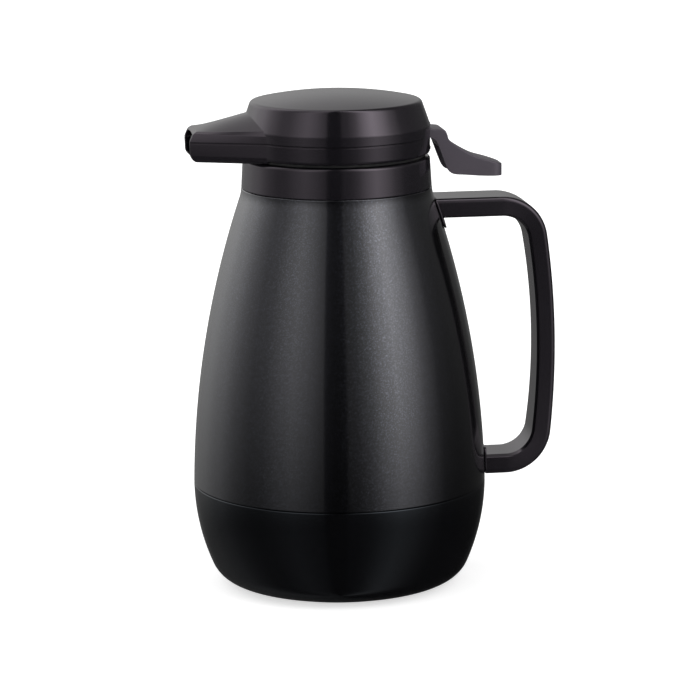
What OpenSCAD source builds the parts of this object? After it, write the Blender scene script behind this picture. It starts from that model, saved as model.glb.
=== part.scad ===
// Thermal carafe: glass-lined server with a screw-in stopper lid, a pouring spout on -X,
// a thumb lever on +X that lifts the valve, and a loop handle on +X.
// Millimetres, +Z up, origin on the body axis at the rest plane.

/* [Body shell] */
// Greatest radius of the body
belly_r = 70.1; // [69:0.1:72]
// Height of the line between base cup and shell
base_line_z = 49.3; // [44:0.1:56]
// Height of the line between shell and neck collar
shell_top_z = 191.8; // [190:0.1:194]
// Radius of the shell where it meets the neck collar
neck_r = 45.3; // [45:0.1:46]
// Radius of the long curve of the shell's side
side_arc_r = 455; // [445:1:470]
// Height of the long curve's centre
side_arc_z = 41; // [38:1:43]
// Wall of the shell
shell_wall = 2.2; // [1.8:0.1:2.6]

/* [Base] */
// Radius of the base cup's side curve
base_arc_r = 100; // [95:1:110]
// Height of the base curve's centre
base_arc_z = 50; // [47:1:53]
// Radius of the rounding at the bottom of the base cup
base_corner_r = 16; // [14:0.5:18]
// Wall of the base cup
base_wall = 2.4; // [2:0.1:2.8]
// Thickness of the base cup's floor
base_floor = 3.6; // [3.2:0.1:4.4]
// Height of the underside above the table
foot_lift = 1.2; // [0.8:0.1:1.8]
// Outer radius of the rubber foot ring
foot_r = 46.8; // [44:0.2:47.4]
// Width of the foot ring
foot_w = 4.4; // [3:0.2:5]
// Depth of the groove that holds the foot ring
foot_groove = 1.8; // [1.4:0.1:2.2]
// Bore of the threaded collar in the base cup
cap_bore_r = 36; // [32:0.5:37]
// Height of the threaded collar above the floor
cap_collar_h = 7.2; // [5:0.2:8.5]
// Overlap of the shell's inner lip with the base cup
lip_h = 5; // [4:0.5:6]

/* [Glass liner] */
// Outer radius of the outer flask
flask_r = 56; // [54:0.5:57]
// Thickness of the glass
glass_wall = 1.4; // [1.2:0.1:1.6]
// Vacuum gap between the flasks
vacuum_gap = 3; // [2.6:0.1:3.4]
// Inner radius of the glass mouth
mouth_r = 26; // [26:0.1:26.6]
// Vacuum gap at the neck
neck_gap = 0.8; // [0.6:0.1:0.9]
// Height of the outer flask's bottom
flask_bottom_z = 17; // [16:0.5:19]
// Height of the flask's domed bottom
flask_dome_h = 22; // [18:1:26]
// Height where the flask's shoulder starts
shoulder_z = 105; // [98:1:112]
// Height of the flask's shoulder
shoulder_h = 60; // [54:1:64]

/* [Neck collar] */
// Height of the visible collar
collar_h = 14.5; // [13:0.5:16]
// Root radius of the collar's thread
thread_bore_r = 37; // [36.6:0.1:37.4]
// Thickness of the collar's flanges and walls
collar_wall = 2.3; // [2:0.1:2.5]
// Bore through the collar's seat flange
seat_bore_r = 25.4; // [25.2:0.1:25.8]
// Thickness of the gasket on the glass lip
gasket_t = 1.9; // [1.6:0.1:2.2]

/* [Lid] */
// Dark gap between collar and lid, filled by the ring gasket
lid_gap = 1.6; // [1.2:0.1:2]
// Radius of the lid's side
lid_r = 44.6; // [44.4:0.1:45]
// Height of the lid's lower ring
lid_ring_h = 7.7; // [7.5:0.1:8.2]
// Groove between the lid's lower ring and its cap
lid_groove = 0.6; // [0.4:0.1:0.8]
// Height of the cap's upright side
cap_side_h = 4.8; // [4.4:0.1:5.6]
// Height of the cap's sloping side
cap_slope_h = 12.4; // [11:0.2:14]
// Radius of the cap's top edge
cap_top_r = 40.5; // [39.5:0.1:41.5]
// Rise of the domed top
cap_dome_h = 4.9; // [4:0.1:6]
// Wall of the cap
cap_wall = 2.2; // [1.8:0.1:2.4]
// Thickness of the lid floor
lid_floor = 1.6; // [1.4:0.1:1.8]

/* [Spout] */
// Distance of the mouth from the body axis
spout_reach = 70.5; // [66:0.5:74]
// Half width at the mouth
spout_tip_half_w = 12.5; // [11:0.5:14]
// Half width where the spout meets the lid
spout_root_half_w = 24.5; // [23:0.5:26]
// Rise of the roof at the mouth
spout_tip_crown = 1; // [0.6:0.1:2]
// Rise of the roof where it meets the lid
spout_root_crown = 9.2; // [8:0.2:10]
// Wall of the spout
spout_wall = 2; // [1.6:0.1:2.4]
// Corner radius of the spout's section
spout_corner_r = 3.2; // [2.4:0.1:4]

/* [Stopper] */
// Radius of the stopper skirt between its thread ridges
stopper_r = 35.4; // [35:0.1:35.6]
// Wall of the stopper skirt
stopper_wall = 3.6; // [3:0.1:3.8]
// Radius of the insert that reaches into the glass mouth
insert_r = 24.2; // [23.6:0.1:24.4]
// Wall of the insert
insert_wall = 2.2; // [1.8:0.1:2.6]
// Depth of the insert below the stopper step
insert_depth = 19; // [17:0.5:21]
// Radius of the valve seat's hole
seat_hole_r = 10.5; // [9:0.5:12]
// Thickness of the seal under the stopper step
mouth_seal_t = 2.4; // [2:0.1:2.8]

/* [Valve and lever] */
// Radius of the valve stem
stem_r = 3; // [2.6:0.1:3.2]
// Radius of the two flanges on the stem head
stem_flange_r = 5.6; // [5.2:0.1:5.8]
// Radius of the lever's round fork tips
fork_tip_r = 2; // [1.8:0.1:2.2]
// Distance of the lever pin from the valve axis
pivot_x = 35; // [34:0.1:35.4]
// Height of the lever pin above the lid's underside
pivot_h = 12.6; // [12.2:0.1:13.2]
// Radius of the lever pin
pin_r = 1.5; // [1.2:0.1:1.8]
// Width of the lever between the bearing lugs
lever_inner_w = 15; // [14:0.5:15.6]
// Width of the thumb pad
lever_pad_w = 19; // [17:0.5:20]
// Distance of the lever's tip from the body axis
lever_reach = 79.3; // [76:0.5:82]
// Wall of the lever's skin
lever_wall = 2; // [1.6:0.1:2.4]
// Wire radius of the valve spring
spring_wire_r = 0.6; // [0.5:0.05:0.7]
// Turns of the valve spring
spring_turns = 9; // [7:1:11]

/* [Handle] */
// Width of the handle
handle_w = 24.5; // [22:0.5:27]
// Thickness of the upper bar
handle_top_t = 8.4; // [7.6:0.2:9]
// Thickness of the lower bar
handle_low_t = 6.8; // [6.4:0.2:8]
// Distance of the grip's centre line from the body axis
handle_reach = 99.1; // [96:0.5:103]
// Height of the upper bar's centre
handle_top_z = 182; // [180.5:0.5:182.5]
// Height of the lower bar's centre
handle_low_z = 55; // [54.6:0.2:58]
// Radius of the grip's long curve
grip_arc_r = 320; // [280:10:400]
// Radius of the upper corner
handle_top_corner = 26; // [22:1:28]
// Radius of the lower corner
handle_low_corner = 18; // [15:1:20]

/* [Clearances] */
// Clearance between parts that seat in each other
fit_gap = 0.1; // [0.05:0.05:0.2]
// Radial clearance of the pin and the stem in their bores
run_gap = 0.07; // [0.03:0.01:0.1]
// Clearance between moving parts
free_gap = 0.3; // [0.25:0.05:0.4]

/* [Hidden] */
$fn = 96;
arc_steps = 12;
tiny = 0.01;

// Heights of the lid, from the collar upwards
collar_top_z = shell_top_z + collar_h;
lid_z = collar_top_z + lid_gap;
lid_seam_z = lid_z + lid_ring_h;
cap_z = lid_seam_z + lid_groove;
cap_shoulder_z = cap_z + cap_side_h;
cap_rim_z = cap_shoulder_z + cap_slope_h;
cap_top_z = cap_rim_z + cap_dome_h;
cap_dome_r = (cap_top_r * cap_top_r + cap_dome_h * cap_dome_h) / (2 * cap_dome_h);

// Heights inside the neck, from the collar's seat flange
seat_flange_z = shell_top_z - 3.8;
seat_top_z = seat_flange_z + collar_wall;
flask_lip_z = seat_flange_z - gasket_t;
step_z = seat_top_z + mouth_seal_t;
insert_z = step_z - insert_depth;
flask_neck_r = mouth_r + 2 * glass_wall + neck_gap;
gasket_skirt_t = 1.4;
gasket_skirt_h = 4.4;
collar_skirt_h = 6;

// Side curve of the shell, and the fillet that brings it upright at the neck
base_seam_r = belly_r - base_arc_r + sqrt(pow(base_arc_r, 2) - pow(base_line_z - base_arc_z, 2));
side_cx = base_seam_r - sqrt(pow(side_arc_r, 2) - pow(base_line_z - side_arc_z, 2));
neck_dx = neck_r - side_cx;
neck_dz = shell_top_z - side_arc_z;
neck_fillet_r = (pow(neck_dx, 2) + pow(neck_dz, 2) - pow(side_arc_r, 2)) / (2 * (side_arc_r - neck_dx));
neck_fillet_cx = neck_r + neck_fillet_r;

// Radius of the shell at a height, moved inwards by an inset
function shell_turn_z(inset) =
    side_arc_z + neck_dz * (side_arc_r - inset) / (side_arc_r + neck_fillet_r);
function shell_r(z, inset = 0) =
    z < shell_turn_z(inset)
        ? side_cx + sqrt(pow(side_arc_r - inset, 2) - pow(z - side_arc_z, 2))
        : neck_fillet_cx - sqrt(pow(neck_fillet_r + inset, 2) - pow(z - shell_top_z, 2));
function shell_line(z0, z1, inset, steps) =
    [for (i = [0:steps]) let (z = z0 + (z1 - z0) * i / steps) [shell_r(z, inset), z]];

// Outline of the base cup at an inset: the bottom rounding, then the side curve
function base_corner_z() = foot_lift + base_corner_r;
function base_corner_cx() =
    belly_r - base_arc_r
        + sqrt(pow(base_arc_r - base_corner_r, 2) - pow(base_arc_z - base_corner_z(), 2));
function base_turn_angle() =
    asin((base_arc_z - base_corner_z()) / (base_arc_r - base_corner_r));
function base_seam_angle(inset) = asin((base_arc_z - base_line_z) / (base_arc_r - inset));
function base_outline(inset) = concat(
    [for (i = [0:arc_steps]) let (a = 90 - (90 - base_turn_angle()) * i / arc_steps)
        [base_corner_cx() + (base_corner_r - inset) * cos(a),
         base_corner_z() - (base_corner_r - inset) * sin(a)]],
    [for (i = [1:arc_steps])
        let (a = base_turn_angle() + (base_seam_angle(inset) - base_turn_angle()) * i / arc_steps)
        [belly_r - base_arc_r + (base_arc_r - inset) * cos(a),
         base_arc_z - (base_arc_r - inset) * sin(a)]]);

// Outline of a flask: domed bottom, straight side, shoulder and neck
function flask_line(r, rn, z0, top) = concat(
    [for (a = [0:9:90]) [r * sin(a), z0 + flask_dome_h * (1 - cos(a))]],
    [for (t = [0:0.1:1])
        [rn + (r - rn) * (1 + cos(180 * t)) / 2, shoulder_z + shoulder_h * t]],
    [[rn, top]]);

function reversed(list) = [for (i = [len(list) - 1:-1:0]) list[i]];

// Ring of rectangular section
module ring(r_in, r_out, z0, z1) {
    rotate_extrude() polygon([[r_in, z0], [r_out, z0], [r_out, z1], [r_in, z1]]);
}

// Cylinder along Y, centred on the XZ plane
module y_cylinder(r, w) {
    rotate([90, 0, 0]) cylinder(r = r, h = w, center = true);
}

// Flat outline in X and Z, drawn out along Y and centred
module y_extrude(w) {
    rotate([90, 0, 0]) translate([0, 0, -w / 2]) linear_extrude(w) children();
}

// Screws that hold the handle, seen along X
screw_r = 1.5;
screw_head_r = 3.4;
screw_head_h = 2.2;
screw_half_spread = 6;
screw_len = 13;
handle_screw_z = [handle_low_z, handle_top_z];
function screw_seat_x(z) =
    sqrt(pow(shell_r(z + screw_head_r, shell_wall), 2) - pow(screw_half_spread + screw_head_r, 2)) - fit_gap;

module handle_screw_places() {
    for (z = handle_screw_z, sy = [-1, 1])
        translate([screw_seat_x(z), sy * screw_half_spread, z]) rotate([0, 90, 0]) children();
}

// Body
module body_shell() {
    lip_r = base_seam_r - base_wall - 0.2;
    lip_top_z = base_line_z + 3;
    color("#3a3a3d") difference() {
        union() {
            rotate_extrude() polygon(concat(
                shell_line(base_line_z, shell_top_z, 0, 24),
                reversed(shell_line(base_line_z, shell_top_z, shell_wall, 24))));
            rotate_extrude() polygon([
                [lip_r - 2, base_line_z - lip_h], [lip_r - 0.3, base_line_z - lip_h],
                [lip_r - 0.3, base_line_z], [shell_r(lip_top_z, shell_wall / 2), base_line_z],
                [shell_r(lip_top_z, shell_wall / 2), lip_top_z], [lip_r, lip_top_z]]);
        }
        handle_screw_places() cylinder(r = screw_r + 0.2, h = screw_len);
    }
}

module neck_collar() {
    outer_r = neck_r - 0.1;
    skirt_r = neck_r - shell_wall - 0.25;
    locator_r = flask_neck_r + gasket_skirt_t + 2 * fit_gap;
    pocket_r = thread_bore_r + collar_wall;
    edge = 0.8;
    color("#17171a") difference() {
        rotate_extrude() polygon([
            [seat_bore_r, seat_flange_z], [locator_r, seat_flange_z],
            [locator_r, seat_flange_z - collar_skirt_h],
            [locator_r + 1.8, seat_flange_z - collar_skirt_h], [locator_r + 1.8, seat_flange_z],
            [skirt_r, seat_flange_z], [skirt_r, shell_top_z], [outer_r, shell_top_z],
            [outer_r, collar_top_z - edge], [outer_r - edge, collar_top_z],
            [thread_bore_r + edge, collar_top_z], [thread_bore_r, collar_top_z - edge],
            [thread_bore_r, seat_top_z], [seat_bore_r, seat_top_z]]);
        ring(pocket_r, skirt_r - collar_wall, seat_flange_z - 1, collar_top_z - collar_wall - edge);
    }
}

module base_cup() {
    floor_z = foot_lift + base_floor;
    collar_r = cap_bore_r + base_wall;
    color("#101012") difference() {
        union() {
            rotate_extrude() polygon(concat(
                [[cap_bore_r, foot_lift]],
                base_outline(0),
                reversed([for (p = base_outline(base_wall)) if (p[1] > floor_z) p]),
                [[base_corner_cx(), floor_z], [cap_bore_r, floor_z]]));
            ring(cap_bore_r, collar_r, floor_z - 1, floor_z + cap_collar_h);
        }
        ring(foot_r - foot_w - fit_gap, foot_r + fit_gap, foot_lift - 1, foot_lift + foot_groove);
    }
}

module base_cap() {
    cap_r = cap_bore_r - 0.3;
    disc_z = foot_lift + 0.3;
    disc_t = base_floor;
    bar_half = 5;
    color("#141416") difference() {
        rotate_extrude() polygon([
            [0, disc_z], [cap_r, disc_z], [cap_r, disc_z + disc_t + cap_collar_h - 1],
            [cap_r - base_wall, disc_z + disc_t + cap_collar_h - 1],
            [cap_r - base_wall, disc_z + disc_t], [0, disc_z + disc_t]]);
        for (s = [-1, 1]) intersection() {
            translate([0, 0, disc_z - 1]) cylinder(r = cap_r - 8, h = 3);
            translate([-cap_r, s > 0 ? bar_half : -cap_r, disc_z - 2])
                cube([2 * cap_r, cap_r - bar_half, 5]);
        }
    }
}

module foot_ring() {
    top_z = foot_lift + foot_groove - fit_gap;
    edge = 0.6;
    color("#222224") rotate_extrude() polygon([
        [foot_r - foot_w + edge, 0], [foot_r - edge, 0], [foot_r, edge], [foot_r, top_z],
        [foot_r - foot_w, top_z], [foot_r - foot_w, edge]]);
}

// Glass liner
module liner_inner_flask() {
    r = flask_r - glass_wall - vacuum_gap;
    z = flask_bottom_z + glass_wall + vacuum_gap;
    color("#cfd8dc") rotate_extrude() polygon(concat(
        flask_line(r, mouth_r + glass_wall, z, flask_lip_z),
        reversed(flask_line(r - glass_wall, mouth_r, z + glass_wall, flask_lip_z))));
}

module liner_outer_flask() {
    neck_in_r = flask_neck_r - glass_wall;
    rim_h = 2;
    tip_r = 4;
    color("#b8c4ca") union() {
        rotate_extrude() polygon(concat(
            flask_line(flask_r, flask_neck_r, flask_bottom_z, flask_lip_z),
            [[mouth_r + glass_wall, flask_lip_z], [mouth_r + glass_wall, flask_lip_z - rim_h]],
            reversed(flask_line(flask_r - glass_wall, neck_in_r, flask_bottom_z + glass_wall,
                flask_lip_z - rim_h))));
        translate([0, 0, flask_bottom_z - 3.5]) cylinder(r1 = 1.2, r2 = tip_r, h = 4);
    }
}

module liner_spacers() {
    r_in = flask_r - glass_wall - vacuum_gap;
    z = flask_bottom_z + flask_dome_h + 8;
    color("#d8d2c4") for (a = [30, 150, 270]) rotate([0, 0, a])
        rotate_extrude(angle = 10)
            polygon([[r_in, z], [r_in + vacuum_gap, z], [r_in + vacuum_gap, z + 8], [r_in, z + 8]]);
}

module liner_mouth_gasket() {
    skirt_in = flask_neck_r + fit_gap;
    skirt_out = skirt_in + gasket_skirt_t;
    color("#8c8c8c") rotate_extrude() polygon([
        [mouth_r + 0.2, flask_lip_z], [skirt_in, flask_lip_z],
        [skirt_in, flask_lip_z - gasket_skirt_h], [skirt_out, flask_lip_z - gasket_skirt_h],
        [skirt_out, seat_flange_z], [mouth_r + 0.2, seat_flange_z]]);
}

module liner_base_cushion() {
    seat_z = foot_lift + 0.3 + base_floor;
    outer_r = cap_bore_r - 0.3 - base_wall - 0.3;
    inner_r = 9;
    function dome_z(r) = flask_bottom_z + flask_dome_h * (1 - sqrt(1 - pow(r / flask_r, 2))) - fit_gap;
    color("#2c2c2c") rotate_extrude() polygon(concat(
        [[inner_r, seat_z], [outer_r, seat_z]],
        [for (i = [0:6]) let (r = outer_r + (inner_r - outer_r) * i / 6) [r, dome_z(r)]]));
}

// Handle: a rounded bar carried along a path of lines and arcs in the XZ plane
grip_cx = handle_reach - grip_arc_r;
grip_cz = 113;
top_corner_z = handle_top_z - handle_top_corner;
top_corner_x = grip_cx
    + sqrt(pow(grip_arc_r - handle_top_corner, 2) - pow(top_corner_z - grip_cz, 2));
low_corner_z = handle_low_z + handle_low_corner;
low_corner_x = grip_cx
    + sqrt(pow(grip_arc_r - handle_low_corner, 2) - pow(low_corner_z - grip_cz, 2));
top_turn = atan2(top_corner_z - grip_cz, top_corner_x - grip_cx);
low_turn = atan2(low_corner_z - grip_cz, low_corner_x - grip_cx);

// Path points as [x, z, direction of the outer side]
handle_path = concat(
    [for (i = [0:8]) let (a = 90 + (top_turn - 90) * i / 8)
        [top_corner_x + handle_top_corner * cos(a), top_corner_z + handle_top_corner * sin(a), a]],
    [for (i = [1:9]) let (a = top_turn + (low_turn - top_turn) * i / 10)
        [grip_cx + grip_arc_r * cos(a), grip_cz + grip_arc_r * sin(a), a]],
    [for (i = [0:8]) let (a = low_turn + (-90 - low_turn) * i / 8)
        [low_corner_x + handle_low_corner * cos(a), low_corner_z + handle_low_corner * sin(a), a]]);

// The bar's section is a rectangle with round corners, given at places across its width
handle_edge_r = 2.6;
across = concat(
    [for (a = [-90:30:-30]) -handle_w / 2 + handle_edge_r + handle_edge_r * sin(a)],
    [for (i = [0:6]) (handle_w / 2 - handle_edge_r) * (i / 3 - 1)],
    [for (a = [30:30:90]) handle_w / 2 - handle_edge_r + handle_edge_r * sin(a)]);
function half_thickness(s, t) =
    let (past = abs(s) - handle_w / 2 + handle_edge_r)
    t / 2 - (past > 0 ? handle_edge_r - sqrt(max(pow(handle_edge_r, 2) - past * past, 0)) : 0);

// Rings of points: across the outer face, then back across the inner face
function both_faces(out_face, in_face) = concat(out_face, reversed(in_face));
function bar_ring(p, t) = both_faces(
    [for (s = across) let (h = half_thickness(s, t)) [p[0] + h * cos(p[2]), s, p[1] + h * sin(p[2])]],
    [for (s = across) let (h = half_thickness(s, t)) [p[0] - h * cos(p[2]), s, p[1] - h * sin(p[2])]]);
// Ring of a foot that hugs the shell; up is 1 where the outer face looks up, -1 where it looks down
function foot_ring_points(z, t, up, stand_off) =
    let (face = function(side) [for (s = across)
        let (level = z + side * up * half_thickness(s, t))
        [sqrt(pow(shell_r(level), 2) - s * s) + stand_off, s, level]])
    both_faces(face(1), face(-1));

handle_foot_t = 1.8;
foot_seat_gap = fit_gap + 0.12;
handle_flare = 3.4;
top_foot_z0 = handle_top_z - handle_top_t / 2 - 2.6;
top_foot_z1 = shell_top_z - 1.3;
low_foot_z0 = base_line_z + 0.8;
low_foot_z1 = handle_low_z + handle_low_t / 2 + 2;

module handle_bar() {
    top_z = (top_foot_z0 + top_foot_z1) / 2;
    top_h = top_foot_z1 - top_foot_z0;
    low_z = (low_foot_z0 + low_foot_z1) / 2;
    low_h = low_foot_z1 - low_foot_z0;
    last = len(handle_path) - 1;
    rings = concat(
        [foot_ring_points(top_z, top_h, 1, foot_seat_gap),
         foot_ring_points(top_z, top_h, 1, handle_foot_t),
         foot_ring_points(handle_top_z, handle_top_t, 1, handle_flare)],
        [for (k = [0:last])
            bar_ring(handle_path[k], handle_top_t + (handle_low_t - handle_top_t) * k / last)],
        [foot_ring_points(handle_low_z, handle_low_t, -1, handle_flare),
         foot_ring_points(low_z, low_h, -1, handle_foot_t),
         foot_ring_points(low_z, low_h, -1, foot_seat_gap)]);
    n = len(across);
    m = 2 * n;
    top = m * (len(rings) - 1);
    skin = [for (k = [0:len(rings) - 2], i = [0:m - 1]) each [
        [k * m + i, k * m + (i + 1) % m, (k + 1) * m + (i + 1) % m],
        [k * m + i, (k + 1) * m + (i + 1) % m, (k + 1) * m + i]]];
    start_cap = [for (i = [0:n - 2]) each [[m - 1 - i, m - 2 - i, i + 1], [m - 1 - i, i + 1, i]]];
    end_cap = [for (i = [0:n - 2]) each [
        [top + i, top + i + 1, top + m - 2 - i], [top + i, top + m - 2 - i, top + m - 1 - i]]];
    polyhedron([for (r = rings) each r], concat(skin, start_cap, end_cap));
}

module handle() {
    color("#1b1a1d") difference() {
        handle_bar();
        handle_screw_places() cylinder(r = screw_r + fit_gap, h = screw_len + 1);
    }
}

module handle_screws() {
    color("#9a9ea2") handle_screw_places() {
        translate([0, 0, -screw_head_h]) cylinder(r = screw_head_r, h = screw_head_h);
        translate([0, 0, -tiny]) cylinder(r = screw_r, h = screw_len);
    }
}

// Spout: a beak between a mouth section and a root section, each [y, z] around
function spout_section(half_w, z0, z_side, crown, r) = concat(
    [for (a = [180:30:270]) [-half_w + r + r * cos(a), z0 + r + r * sin(a)]],
    [for (a = [270:30:360]) [half_w - r + r * cos(a), z0 + r + r * sin(a)]],
    [for (i = [0:8]) let (u = 1 - i / 4)
        [half_w * u, z_side + crown * (1 - u * u)]]);

module spout_beak(inset, x_tip, x_root) {
    z0 = lid_z + inset;
    z_side = cap_shoulder_z - 0.4 - inset;
    r = max(spout_corner_r - inset, 0.8);
    hull() {
        translate([-x_tip, 0, 0]) rotate([90, 0, 90]) linear_extrude(tiny)
            polygon(spout_section(spout_tip_half_w - inset, z0, z_side, spout_tip_crown, r));
        translate([-x_root, 0, 0]) rotate([90, 0, 90]) linear_extrude(tiny)
            polygon(spout_section(spout_root_half_w - inset, z0, z_side, spout_root_crown, r));
    }
}

// Solid shape of the lid, moved inwards by an inset
module lid_core(inset) {
    rotate_extrude() polygon(concat(
        [[0, lid_z], [lid_r - inset, lid_z], [lid_r - inset, cap_shoulder_z - inset / 4],
         [cap_top_r - inset, cap_rim_z - inset / 2]],
        [for (i = [1:arc_steps]) let (r = (cap_top_r - inset) * (1 - i / arc_steps))
            [r, cap_rim_z + cap_dome_h - inset - cap_dome_r
                + sqrt(pow(cap_dome_r, 2) - r * r)]]));
}

module spout_shell() {
    root_x = lid_r - 8;
    difference() {
        spout_beak(0, spout_reach, root_x);
        spout_beak(spout_wall, spout_reach + 1, root_x - 1);
        lid_core(1);
    }
}

// Place of the lever's slot in the lid's rear wall
slot_half_w = lever_pad_w / 2 + 0.7;
slot_top_z = cap_shoulder_z + 0.5;
lever_pocket_x = lid_r - 3.3;

module lid_cap() {
    color("#19181b") difference() {
        union() {
            difference() {
                lid_core(0);
                lid_core(cap_wall);
                translate([0, 0, lid_z - 1]) cylinder(r = lid_r + 1, h = cap_z - lid_z + 1);
                translate([0, 0, cap_z - 1]) cylinder(r = lid_r - cap_wall, h = 2);
            }
            intersection() {
                spout_shell();
                translate([-spout_reach - 5, -40, cap_z]) cube([60, 80, 40]);
            }
        }
        translate([lid_r - 12, -slot_half_w, lid_z]) cube([20, 2 * slot_half_w, slot_top_z - lid_z]);
    }
}

cover_ledge_z = lid_z + lid_floor + 2.5;
cover_gasket_t = 0.6;
cover_z = cover_ledge_z + cover_gasket_t;
cover_t = 1.8;
cover_top_z = cover_z + cover_t;
cap_lip_r = lid_r - cap_wall - free_gap - 0.1;
cap_lip_t = 1.6;
ledge_w = 1.4;
cover_r = cap_lip_r - cap_lip_t - 0.2;

cover_screw_shank_r = 1;
cover_screw_angles = [-125, -60, 60, 125];
stopper_spigot_r = stopper_r - 1.5;
cover_boss_r = 2.6;
cover_screw_r = stopper_spigot_r + cover_boss_r + 0.4;

module cover_screw_places() {
    for (a = cover_screw_angles) rotate([0, 0, a]) translate([cover_screw_r, 0, 0]) children();
}

module lid_body() {
    floor_z = lid_z + lid_floor;
    window_half_w = 17;
    color("#19181b") difference() {
        union() {
            rotate_extrude() polygon([
                [stopper_spigot_r + fit_gap, lid_z], [lid_r - 0.2, lid_z], [lid_r, lid_seam_z],
                [cap_lip_r, lid_seam_z], [cap_lip_r, cap_z + 2.2], [cap_lip_r - cap_lip_t, cap_z + 2.2],
                [cap_lip_r - cap_lip_t, cover_ledge_z], [cap_lip_r - cap_lip_t - ledge_w, cover_ledge_z],
                [cap_lip_r - cap_lip_t - ledge_w, floor_z], [stopper_spigot_r + fit_gap, floor_z]]);
            intersection() {
                spout_shell();
                translate([-spout_reach - 5, -40, lid_z - 5]) cube([60, 80, lid_seam_z - lid_z + 5]);
            }
            cover_screw_places() translate([0, 0, floor_z - 0.5])
                cylinder(r = cover_boss_r, h = cover_ledge_z - floor_z + 0.5);
        }
        translate([-lid_r - 2, -window_half_w, floor_z])
            cube([14, 2 * window_half_w, cover_z - floor_z]);
        translate([lever_pocket_x, -slot_half_w, lid_z - 1])
            cube([10, 2 * slot_half_w, lid_ring_h + 10]);
        translate([lid_r - 12, -slot_half_w, cover_top_z - 0.6])
            cube([20, 2 * slot_half_w, 10]);
        cover_screw_places() translate([0, 0, floor_z + 0.4])
            cylinder(r = cover_screw_shank_r + 0.05, h = 10);
    }
}

module lid_cover_gasket() {
    color("#7d7d80") difference() {
        ring(cap_lip_r - cap_lip_t - ledge_w + 0.1, cover_r, cover_ledge_z, cover_z);
        translate([lid_r - 12, -slot_half_w, cover_top_z - 0.6]) cube([20, 2 * slot_half_w, 10]);
    }
}

pivot_z = lid_z + pivot_h;
lug_in = lever_inner_w / 2 + free_gap;
lug_t = 3;
lug_r = 3.5;
boss_r = 6;
boss_h = 2.6;
seal_r = 5;

module lid_flow_cover() {
    color("#202024") difference() {
        union() {
            translate([0, 0, cover_z]) cylinder(r = cover_r, h = cover_t);
            translate([0, 0, cover_z]) cylinder(r = boss_r + 0.6, h = cover_t + boss_h);
            for (s = [-1, 1]) translate([pivot_x, s * (lug_in + lug_t / 2), 0]) {
                translate([0, 0, pivot_z]) y_cylinder(lug_r, lug_t);
                translate([-lug_r, -lug_t / 2, cover_top_z - 0.5])
                    cube([2 * lug_r, lug_t, pivot_z - cover_top_z + 0.5]);
            }
        }
        translate([0, 0, cover_z - 1]) cylinder(r = stem_r + run_gap, h = 20);
        translate([0, 0, cover_top_z - 0.4]) cylinder(r = seal_r + 0.05, h = 10);
        translate([pivot_x, 0, pivot_z]) y_cylinder(pin_r + run_gap, 40);
        cover_screw_places() translate([0, 0, cover_z - 1])
            cylinder(r = cover_screw_shank_r + 0.2, h = cover_t + 2);
    }
}

module lid_cover_screws() {
    color("#a4a8ac") cover_screw_places() {
        translate([0, 0, lid_z + lid_floor + 0.6])
            cylinder(r = cover_screw_shank_r, h = cover_top_z - lid_z - lid_floor);
        translate([0, 0, cover_top_z + fit_gap / 2]) cylinder(r = 2.2, h = 1.3);
    }
}

module lid_ring_gasket() {
    color("#2a2a2c") ring(thread_bore_r + 0.8, neck_r - 1.9,
        collar_top_z + fit_gap, lid_z - fit_gap);
}

// Stopper
module stopper_body() {
    skirt_in = stopper_r - stopper_wall;
    step_top_z = step_z + 2.4;
    insert_in = insert_r - insert_wall;
    color("#26262a") rotate_extrude() polygon([
        [seat_hole_r, insert_z], [insert_r - 1.5, insert_z], [insert_r, insert_z + 1.5],
        [insert_r, step_z], [stopper_r, step_z], [stopper_r, lid_z - fit_gap],
        [stopper_spigot_r, lid_z - fit_gap], [stopper_spigot_r, lid_z + lid_floor],
        [skirt_in, lid_z + lid_floor], [skirt_in, step_top_z], [insert_in, step_top_z],
        [insert_in, insert_z + 2.4], [seat_hole_r, insert_z + 2.4]]);
}

module stopper_mouth_seal() {
    color("#9a9a9a") ring(insert_r + fit_gap, stopper_r - 1.4, seat_top_z + fit_gap, step_z);
}

// Valve, closed: the seal lies on the seat at the bottom of the insert
seat_z = insert_z + 2.4;
valve_seal_t = 1.9;
valve_plug_t = 3.6;
valve_r = seat_hole_r + 2.5;
fork_z = pivot_z + 1.3;
flange_t = 1.5;
fork_room = fork_tip_r + free_gap;
stem_top_z = fork_z + fork_room + flange_t;

module valve_stem() {
    foot_z = seat_z + valve_seal_t + fit_gap;
    color("#d9dadc") union() {
        translate([0, 0, foot_z]) cylinder(r = stem_r, h = stem_top_z - foot_z);
        for (z = [fork_z - fork_room - flange_t, fork_z + fork_room])
            translate([0, 0, z]) cylinder(r = stem_flange_r, h = flange_t);
    }
}

module valve_plug() {
    z = seat_z + valve_seal_t + fit_gap;
    color("#303034") difference() {
        rotate_extrude() polygon([
            [0, z - 5], [seat_hole_r - 4, z - 5], [seat_hole_r - 2, z - 3.4], [seat_hole_r - 2, z],
            [valve_r - 0.6, z], [valve_r - 0.6, z + 1.6], [stem_r + 4, z + valve_plug_t],
            [0, z + valve_plug_t]]);
        translate([0, 0, z - fit_gap]) cylinder(r = stem_r + fit_gap / 2, h = valve_plug_t + 1);
    }
}

module valve_seal() {
    color("#b5423a") ring(seat_hole_r - 1.9, valve_r, seat_z + fit_gap / 2, seat_z + valve_seal_t);
}

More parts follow.
